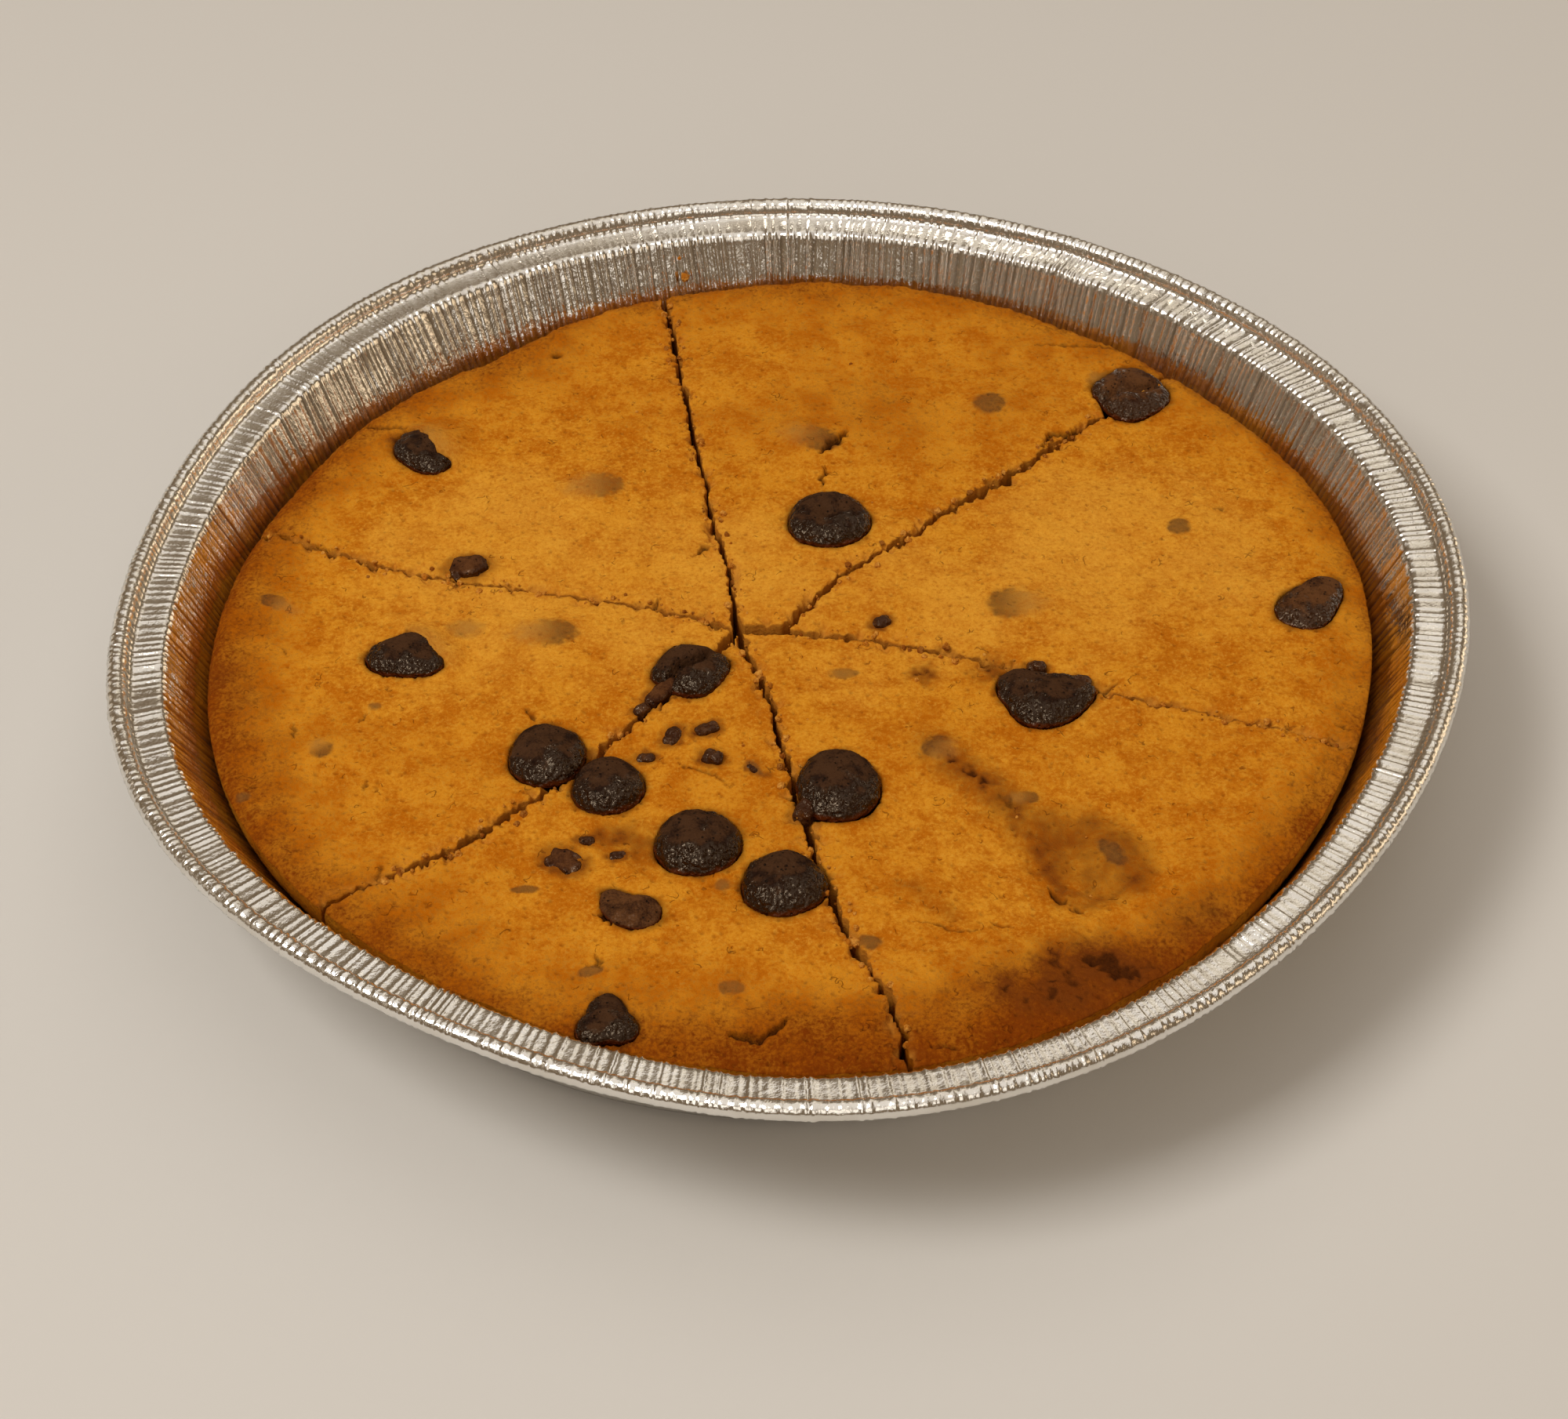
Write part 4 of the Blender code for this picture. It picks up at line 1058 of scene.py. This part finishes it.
# %% [markdown]
# ## The knife cuts
# Three straight cuts cross near the middle and make six slices. A dull knife drags the crust, so a cut
# has ragged sides that don't match. Each cut is two spokes from the hub. A slice's side is its spoke,
# pushed out by half the gap and by noise of its own.

# %% Spokes from the hub
HUB_LEFT = (-8.0, -1.7, 1.5)
HUB_RIGHT = (-1.0, -2.3, 1.4)
SPOKES = (
    [HUB_RIGHT, (14, -5.2, 0.9), (27, -9.6, 0.8), (47, -18.2, 0.7), (58, -21.6, 0.5), (70, -26, 0.5),
     (104, -39.0, 0.4)],
    [HUB_RIGHT, (7.5, 9.2, 1.0), (23.9, 23.4, 1.1), (37.4, 34.4, 1.9), (51.6, 47.6, 1.0), (84, 76.0, 0.4)],
    [HUB_LEFT, (-9.2, 11.2, 1.0), (-12, 26.5, 0.9), (-15.2, 49.0, 1.0), (-19, 78.0, 1.2), (-22.5, 104, 1.2)],
    [HUB_LEFT, (-19, 3.0, 0.8), (-30, 6.6, 0.6), (-52, 11.9, 0.7), (-69, 17.7, 0.8), (-84, 25.6, 0.9),
     (-104, 34.0, 0.9)],
    [HUB_LEFT, (-15.7, -11.9, 1.2), (-24, -21.5, 1.0), (-33.5, -33.0, 1.2), (-48.6, -46.6, 1.6),
     (-66.6, -57.3, 0.9), (-92, -74.0, 0.5)],
    [HUB_LEFT, (-3, -19.5, 1.0), (0.2, -38.0, 1.3), (3.4, -54.5, 1.6), (7.8, -69.5, 1.2),
     (13, -80.4, 1.2), (17, -104, 1.0)],
)
FINE = 0.25
TIP = 1.2
FREE_WALL_START = 84.0
FREE_WALL_WIDTH = 5.0


def spoke_line(number):
    """Places every quarter of a millimetre along a spoke, its left-hand normals and its gap."""
    corners = np.array(SPOKES[number], dtype=float)
    at = lengths_along(corners[:, :2])
    along = np.arange(0.0, at[-1], FINE)
    x, y, gap = (np.interp(along, at, corners[:, i]) for i in range(3))
    reach = ease(along / 8.0)
    line = np.stack([x, y], axis=1)
    ahead = np.gradient(line, axis=0)
    ahead /= np.hypot(ahead[:, 0], ahead[:, 1])[:, None]
    left = np.stack([-ahead[:, 1], ahead[:, 0]], axis=1)
    sway = 0.35 * swell(along, along * 0.0, 7.0, 101 + number) + 0.25 * swell(along, along, 2.3, 111 + number)
    return line + left * (sway * reach)[:, None], left, gap


def slice_side(number, side):
    """One ragged side of a spoke, from the hub to past the edge; side is +1 for its left."""
    line, left, gap = spoke_line(number)
    along = np.arange(len(line)) * FINE
    seed = 131 + 10 * number + (side > 0)
    ragged = 0.38 * swell(along, along * 0.3, 3.1, seed) + 0.36 * swell(along, along * 0.3, 1.3, seed + 5)
    ragged = ragged + 0.22 * swell(along, along * 0.3, 0.6, seed + 3)
    half = np.maximum(0.5 * gap + ragged * (0.15 + 0.75 * gap), 0.10)
    side_line = line + side * left * half[:, None]
    return side_line[along >= TIP]


def cut_at_edge(side_line):
    """The part of a side that lies inside the cookie."""
    angle = np.arctan2(side_line[:, 1], side_line[:, 0])
    beyond = np.hypot(side_line[:, 0], side_line[:, 1]) > dough_edge(angle)
    return side_line[:int(np.argmax(beyond))]


def dough_edge(angle):
    """The dough's outer radius, held a little inside the pan's wall."""
    free = edge_radius(angle) + 0.22 * swell(30 * np.cos(angle), 30 * np.sin(angle), 1.6, 141)
    shoulder = COOKIE_TOP - SHOULDER_DROP
    return np.minimum(free, straight_wall(shoulder) + bent_out(angle, shoulder) - SIDE_ROOM)


print("spokes:", len(SPOKES))

# %% [markdown]
# ## Slices
# A slice is a wedge. Rows of points run across it, few near the tip and many near the rim, so that all
# triangles have about the same size: a quarter of a millimetre, which is a grain of sugar. The rows
# are stitched by merging their two lists of places. The outline then goes down to the flat underside.

# %% Rows, stitches and walls


def resampled(line, count):
    """The same line with count + 1 points at even steps."""
    at = lengths_along(line)
    even = np.linspace(0.0, at[-1], count + 1)
    return np.stack([np.interp(even, at, line[:, 0]), np.interp(even, at, line[:, 1])], axis=1)


def stitch(first, count_a, second, count_b):
    """Triangles between two rows of points, given their first numbers and their segment counts."""
    steps_a = (np.arange(count_a) + 0.5) / count_a
    steps_b = (np.arange(count_b) + 0.5) / count_b
    order = np.argsort(np.concatenate([steps_a, steps_b]), kind="stable")
    is_a = order < count_a
    a = first + np.concatenate([[0], np.cumsum(is_a)[:-1]])
    b = second + np.concatenate([[0], np.cumsum(~is_a)[:-1]])
    tips = np.where(is_a, a + 1, b + 1)
    return np.stack([a, tips, b], axis=1)


def wedge_rows(right_side, left_side):
    """Rows of places across a slice, from its tip to the cookie's edge."""
    count = (len(right_side) + len(left_side)) // 2
    right_side, left_side = resampled(right_side, count), resampled(left_side, count)
    start = math.atan2(right_side[-1][1], right_side[-1][0])
    end = math.atan2(left_side[-1][1], left_side[-1][0])
    if end < start:
        end += 2.0 * math.pi
    rows = []
    for i in range(count + 1):
        t = i / count
        chord = math.hypot(*(left_side[i] - right_side[i]))
        pieces = max(2, int(round((chord * (1.0 + 0.045 * t)) / FINE)))
        s = np.linspace(0.0, 1.0, pieces + 1)[:, None]
        angle = start + s[:, 0] * (end - start)
        arc = polar(dough_edge(angle), angle)
        ends = right_side[-1] + s * (left_side[-1] - right_side[-1])
        straight = right_side[i] + s * (left_side[i] - right_side[i])
        rows.append(straight + t * (arc - ends))
    return rows


SIDE_HEIGHTS = (COOKIE_BASE, 5.2, 12.0, 17.5, 20.1)
SIDE_SHARES = (0.852, 0.914, 0.957, 0.992, 1.0)
WALL_DEPTHS = (0.015, 0.05, 0.11, 0.20, 0.32, 0.48, 0.66, 0.84, 1.0)


def slice_walls(outline, z, seed):
    """Rows of points that go down from a slice's outline to its flat underside."""
    radius = np.hypot(outline[:, 0], outline[:, 1])
    angle = np.arctan2(outline[:, 1], outline[:, 0])
    outer = ease((radius / dough_edge(angle) - 0.75) / 0.25)
    along = lengths_along(outline)
    rows = []
    sideways = np.stack([-np.sin(angle), np.cos(angle)], axis=1)
    for depth in WALL_DEPTHS:
        height = z + (COOKIE_BASE - z) * depth
        share = np.interp(height, SIDE_HEIGHTS, SIDE_SHARES)
        crumb = 0.16 * swell(along, height, 1.5, seed) + 0.12 * swell(along, height, 0.7, seed + 1)
        flat = min(1.0, 6.0 * (1.0 - depth))
        new = radius * (1.0 - (1.0 - share) * outer) - np.abs(crumb) * outer * flat
        slip = crumb * (1.0 - outer) * flat * min(1.0, depth * 12.0)
        xy = polar(new, angle) + sideways * slip[:, None]
        rows.append(np.column_stack([xy, height]))
    return rows


def make_slice(number, right_spoke, left_spoke):
    """One slice as a closed solid with its painted layers."""
    right_side = cut_at_edge(slice_side(right_spoke, +1))
    left_side = cut_at_edge(slice_side(left_spoke, -1))
    rows = wedge_rows(right_side, left_side)
    counts = [len(row) - 1 for row in rows]
    firsts = np.concatenate([[0], np.cumsum([len(row) for row in rows])])
    plan = np.concatenate(rows)
    x, y = plan[:, 0], plan[:, 1]
    faces = [stitch(firsts[i], counts[i], firsts[i + 1], counts[i + 1])[:, ::-1]
             for i in range(len(rows) - 1)]
    m = crust_masks(x, y)
    pocket, near, cover = chip_places(x, y)
    across = np.concatenate([np.minimum(np.arange(c + 1), c - np.arange(c + 1)) * FINE for c in counts])
    back = np.concatenate([np.full(c + 1, i * FINE) for i, c in enumerate(counts)])
    side_away = np.minimum(across, back + 0.2)
    broken = np.maximum(swell(x, y, 2.3, 151) + 0.4 * swell(x, y, 0.8, 152), 0.0) * 2.0 + 0.20
    crumble = broken * np.exp(-side_away / (0.45 + 0.35 * np.clip(broken, 0.0, 1.5)))
    z = plain_top(x, y) + crust_relief(x, y, m) - crumble - pocket
    right_edge = [first + count for first, count in zip(firsts, counts)]
    loop = np.array([*firsts[:-1], *range(firsts[-2] + 1, firsts[-2] + counts[-1]),
                     *right_edge[::-1], *range(firsts[0] + counts[0] - 1, firsts[0], -1)])
    walls = slice_walls(plan[loop], z[loop], 161 + 2 * number)
    n, size = len(plan), len(loop)
    loops = [loop, *numbered(n, len(walls), size)]
    faces += [halved(sleeve(loops)), fan(n + len(walls) * size, loops[-1])[:, ::-1]]
    under = np.array([[*plan[loop].mean(axis=0), COOKIE_BASE]])
    points = np.concatenate([np.column_stack([plan, z]), *walls, under])
    piece = mesh_from(f"slice_{number}_crust", points, np.concatenate(faces), crust)
    side_toast = np.append(np.full(len(points) - n - 1, 0.55), 0.7)
    outer = [ease((np.hypot(w[:, 0], w[:, 1]) - FREE_WALL_START) / FREE_WALL_WIDTH) for w in walls]
    outer = np.concatenate([*outer, [1.0]])
    # Real stains (burnt spots, chocolate round and under chips) and painted shade in cracks, holes and pits.
    stain_and_recess_shade = (m["crack"] * 0.95 + m["hole"] + m["burnt"] * 0.8 + near * 0.75 + (pocket > 0.3) * 0.8
             + m["pits"] * 0.35)
    none = np.zeros(len(points) - n)
    layers = {"toast": (toast_of(x, y, m), side_toast * outer), "stain_and_shade": (np.clip(stain_and_recess_shade, 0, 1), none),
              "skin": (np.maximum(m["skin"], 1.1 * cover), none), "brown": (m["brown"], none),
              "sunk": (m["sunk"], none), "inside": (np.clip(crumble * 0.8, 0, 1), 0.85 * (1.0 - outer))}
    for layer, on_top_and_sides in layers.items():
        paint(piece, layer, np.concatenate(on_top_and_sides))
    dress(piece, "dough", f"slice_{number}")


for number in range(1, 7):
    make_slice(number, number - 1, number % 6)

# %% [markdown]
# ## Chocolate chips
# Each chip starts as a ball with its top pushed up and its underside pressed into the pocket. Boiling
# sugar left a froth of blisters on its sides. A froth is many small domes that meet in creases, so its
# height comes from the distance to the nearest of many scattered points.

# %% Shape the chips
CHIP_ROUND = 168
CHIP_RINGS = 74
DULL_CHIPS = (2, 3, 14)


def froth(points, size, seed):
    """Height of a froth of small domes at places in space, 0 to 1."""
    cell = np.floor(points / size)
    best = np.full(len(points), 1e9)
    for a in (-1, 0, 1):
        for b in (-1, 0, 1):
            for c in (-1, 0, 1):
                spot = cell + (a, b, c)
                row = spot[:, 1] + 4099.0 * spot[:, 2]
                at = np.stack([dice(spot[:, 0], row, seed + k) for k in range(3)], axis=1)
                best = np.minimum(best, np.linalg.norm(points - (spot + at) * size, axis=1))
    return np.sqrt(np.clip(1.0 - (best / (0.8 * size)) ** 2, 0.0, 1.0))


def ball(around, rings, crowd=1.0):
    """Points and triangles of a round ball of radius 1; crowd > 1 puts more rings near its top."""
    turn = np.arange(around) * 2.0 * np.pi / around
    tilt = np.pi * np.linspace(0.0, 1.0, rings + 1)[1:-1, None] ** crowd
    u, v, w = np.sin(tilt) * np.cos(turn), np.sin(tilt) * np.sin(turn), np.cos(tilt) + 0.0 * turn
    points = np.vstack([[0, 0, 1], np.stack([u, v, w], axis=-1).reshape(-1, 3), [0, 0, -1]])
    loops = numbered(1, rings - 1, around)
    return points, np.concatenate([fan(0, loops[0]), fan(len(points) - 1, loops[-1])[:, ::-1],
                                   halved(sleeve(loops))])


def outwards(points, sizes):
    """Directions away from a flattened ball's middle."""
    away = points / (np.array(sizes) ** 2)
    return away / np.maximum(np.linalg.norm(away, axis=1), 1e-6)[:, None]


def make_chip(number, chip):
    at_x, at_y, half_x, half_y, turn, rise, form = chip
    plain, faces = ball(CHIP_ROUND, CHIP_RINGS, 1.25)
    u, v, w = plain.T
    height = np.abs(w) ** np.where(w > 0, 1.1, 0.85)
    lift = np.where(w > 0, rise * height * (1.0 - chip_dent(form, u, v)), -CHIP_DEPTH * height)
    reach = chip_outline(form, np.arctan2(v, u))
    x, y = turned_about(u * half_x * reach, v * half_y * reach, 0.0, 0.0, -turn)
    place = np.column_stack([x, y, lift])
    seed = 200 + 10 * number
    slanted = x + 0.8 * lift, y - 0.8 * lift
    lumps = 0.26 * swell(*slanted, 3.4, seed) + 0.12 * swell(*slanted, 1.5, seed + 1)
    calm = 0.75 * w + 0.35 * y / half_y - 0.30 + 0.30 * swell(x, y, 3.0, seed + 2)
    calm = ease((calm + 0.15 * swell(x, y, 1.3, seed + 7)) / 0.5)
    blisters = 0.24 * froth(place, 1.0, seed + 3) + 0.10 * froth(place, 0.5, seed + 4) - 0.16
    pit, own = nearest(*slanted, 1.3, seed + 5)
    pits = ease(1.0 - pit / (0.16 + 0.26 * own)) * (own > 0.35)
    showing = ease((w + 0.25) / 0.2)
    move = (lumps + blisters * (1.0 - 0.75 * calm) - 0.30 * pits * (0.4 + calm)) * showing
    seat = top_at(at_x, at_y)
    place = place + outwards(place, (half_x, half_y, rise)) * move[:, None] + (at_x, at_y, seat)
    finish = dull_chocolate if number in DULL_CHIPS else dark_chocolate
    piece = mesh_from(f"chip_{number:02d}_baked", place, faces, finish)
    paint(piece, "matt", np.maximum(calm, 0.7 * (form == "crescent")))
    paint(piece, "edge", ease((0.26 - w + 0.12 * swell(x, y, 2.0, seed + 6)) / 0.2))
    dress(piece, "chocolate", f"chip_{number:02d}")


for number, chip in enumerate(CHIPS, 1):
    make_chip(number, chip)

# %% [markdown]
# ## Broken bits
# Smaller pieces of chip broke off while the dough was mixed. They lie low in the crust, browner than
# the whole chips, because a thin film of dough baked on to them. One mesh holds them all.

# %% Bits in the crust


def make_bits():
    plain, plain_faces = ball(40, 24)
    points, faces, dullness = [], [], []
    for number, (at_x, at_y, half_x, half_y, turn, rise) in enumerate(BITS):
        seat = top_at(at_x, at_y)
        boxy = np.sign(plain) * np.abs(plain) ** 0.65
        x, y = turned_about(boxy[:, 0] * half_x, boxy[:, 1] * half_y, 0.0, 0.0, -turn)
        place = np.column_stack([x, y, boxy[:, 2] * (rise + 0.5) + 0.12 * x * rise])
        move = 0.26 * half_y * swell(x + place[:, 2], y - place[:, 2], 1.5, 400 + number)
        move = move + 0.14 * froth(place, 0.7, 420 + number) - 0.07
        place = place + outwards(place, (half_x, half_y, rise + 0.5)) * move[:, None]
        faces.append(plain_faces + number * len(plain))
        points.append(place + (at_x, at_y, seat - 0.45))
        dullness.append(0.25 + 0.6 * ease((plain[:, 2] - 0.5) / 0.5) * (half_x > 2.6))
    bits = mesh_from("chip_bits", np.concatenate(points), np.concatenate(faces), dull_chocolate)
    paint(bits, "matt", np.concatenate(dullness))
    paint(bits, "edge", np.full(len(bits.data.vertices), 0.15))
    dress(bits, "chocolate")


make_bits()

# %% [markdown]
# ## Crumbs
# The knife left crumbs along its cuts, and a few lie on the top and stick to the foil. They all follow
# one rule, so Geometry Nodes put a lumpy ball on each point, turn it and size it from its own number.

# %% Crumbs by Geometry Nodes
CRUMBS_PER_MM = 0.9
CUT_CRUMB_RADIUS = 90.0
LOOSE_CRUMBS = 40
LOOSE_RADIUS = 84.0
STUCK_CRUMBS = ((-17.6, 94.9, 27.5, 1.0), (-16.7, 93.5, 24.2, 0.9))


def crumb_finish():
    crumb, place, shader = new_finish("crumb", Roughness=0.9, Specular_IOR_Level=0.05)
    tone = place.noise(0.9, 2.0, 0.6)
    brown = place.noise(5.0, 1.0).step(0.50, 0.62)
    colour = tone.step(0.35, 0.70).colour_mix((0.40, 0.125, 0.008), (0.62, 0.29, 0.050))
    colour = (brown * 0.7).colour_mix(colour, (0.16, 0.036, 0.004))
    feed(shader, Base_Color=colour, Normal=place.noise(0.25, 2.0).bump(0.7, 0.08))
    return crumb


def make_crumb_tree():
    tree, given = new_tree("crumbs", [
        ("Smallest", "NodeSocketFloat", 0.10 * MM), ("Largest", "NodeSocketFloat", 0.62 * MM),
        ("Seed", "NodeSocketInt", 4), ("Crumb", "NodeSocketMaterial", None)])
    grain = tree.node("GeometryNodeMeshIcoSphere", {}, {"Radius": 1.0, "Subdivisions": 3})
    place = tree.node("GeometryNodeInputPosition")
    shape = tree.vector("SCALE", place, Scale=place.texture(1.3, 3.0) * 1.5 + 0.25)
    grain = tree.node("GeometryNodeSetPosition", {}, {"Geometry": grain, "Position": shape})
    turn = tree.node("FunctionNodeRandomValue", {"data_type": "FLOAT_VECTOR"},
                     {0: (0.0, 0.0, 0.0), 1: (6.28, 6.28, 6.28), "Seed": given["Seed"]})
    chance = tree.node("FunctionNodeRandomValue", {"data_type": "FLOAT"}, {"Seed": given["Seed"]}, out=1)
    size = given["Smallest"] + (given["Largest"] - given["Smallest"]) * tree.math("POWER", chance, 2.5)
    size = size * tree.stored("size")
    crumbs = tree.node("GeometryNodeInstanceOnPoints", {}, {
        "Points": given["Geometry"], "Instance": grain, "Rotation": turn, "Scale": size})
    end_tree(tree, crumbs, given["Crumb"])
    return tree.tree


def crumb_places():
    """Places for the crumbs and their sizes: along each cut, loose on the top, and stuck to the wall."""
    rng = np.random.default_rng(11)
    found = []
    for number in range(len(SPOKES)):
        line, left, gap = spoke_line(number)
        inside = np.hypot(line[:, 0], line[:, 1]) < CUT_CRUMB_RADIUS
        line, left, gap = line[inside], left[inside], gap[inside]
        picks = rng.integers(8, len(line), int(CRUMBS_PER_MM * len(line) * FINE))
        side = rng.choice((-1.0, 1.0), len(picks))
        away = side * (0.30 * gap[picks] + np.abs(rng.normal(0.0, 0.8, len(picks))))
        spot = line[picks] + left[picks] * away[:, None]
        fallen = np.abs(away) < 0.5 * gap[picks]
        height = plain_top(spot[:, 0], spot[:, 1]) - np.where(fallen, rng.uniform(0.6, 3.0, len(picks)), 0.0)
        found.append(np.column_stack([spot, height, np.where(fallen, 1.5, 1.0)]))
    turn = rng.uniform(0.0, 2.0 * np.pi, LOOSE_CRUMBS)
    x, y = polar(LOOSE_RADIUS * np.sqrt(rng.uniform(0.0, 1.0, LOOSE_CRUMBS)), turn).T
    found.append(np.column_stack([x, y, plain_top(x, y), np.full(LOOSE_CRUMBS, 0.6)]))
    found.append(np.array([(x, y, z, 3.0 * size) for x, y, z, size in STUCK_CRUMBS]))
    return np.concatenate(found)


def make_crumbs():
    spots = crumb_places()
    crumbs = mesh_from("crumbs", spots[:, :3], np.zeros((0, 3)), crumb_finish())
    paint(crumbs, "size", spots[:, 3])
    run_tree(crumbs, make_crumb_tree(), Crumb=crumbs.data.materials[0])
    print("crumbs:", len(spots))
    dress(crumbs, "dough")


make_crumbs()
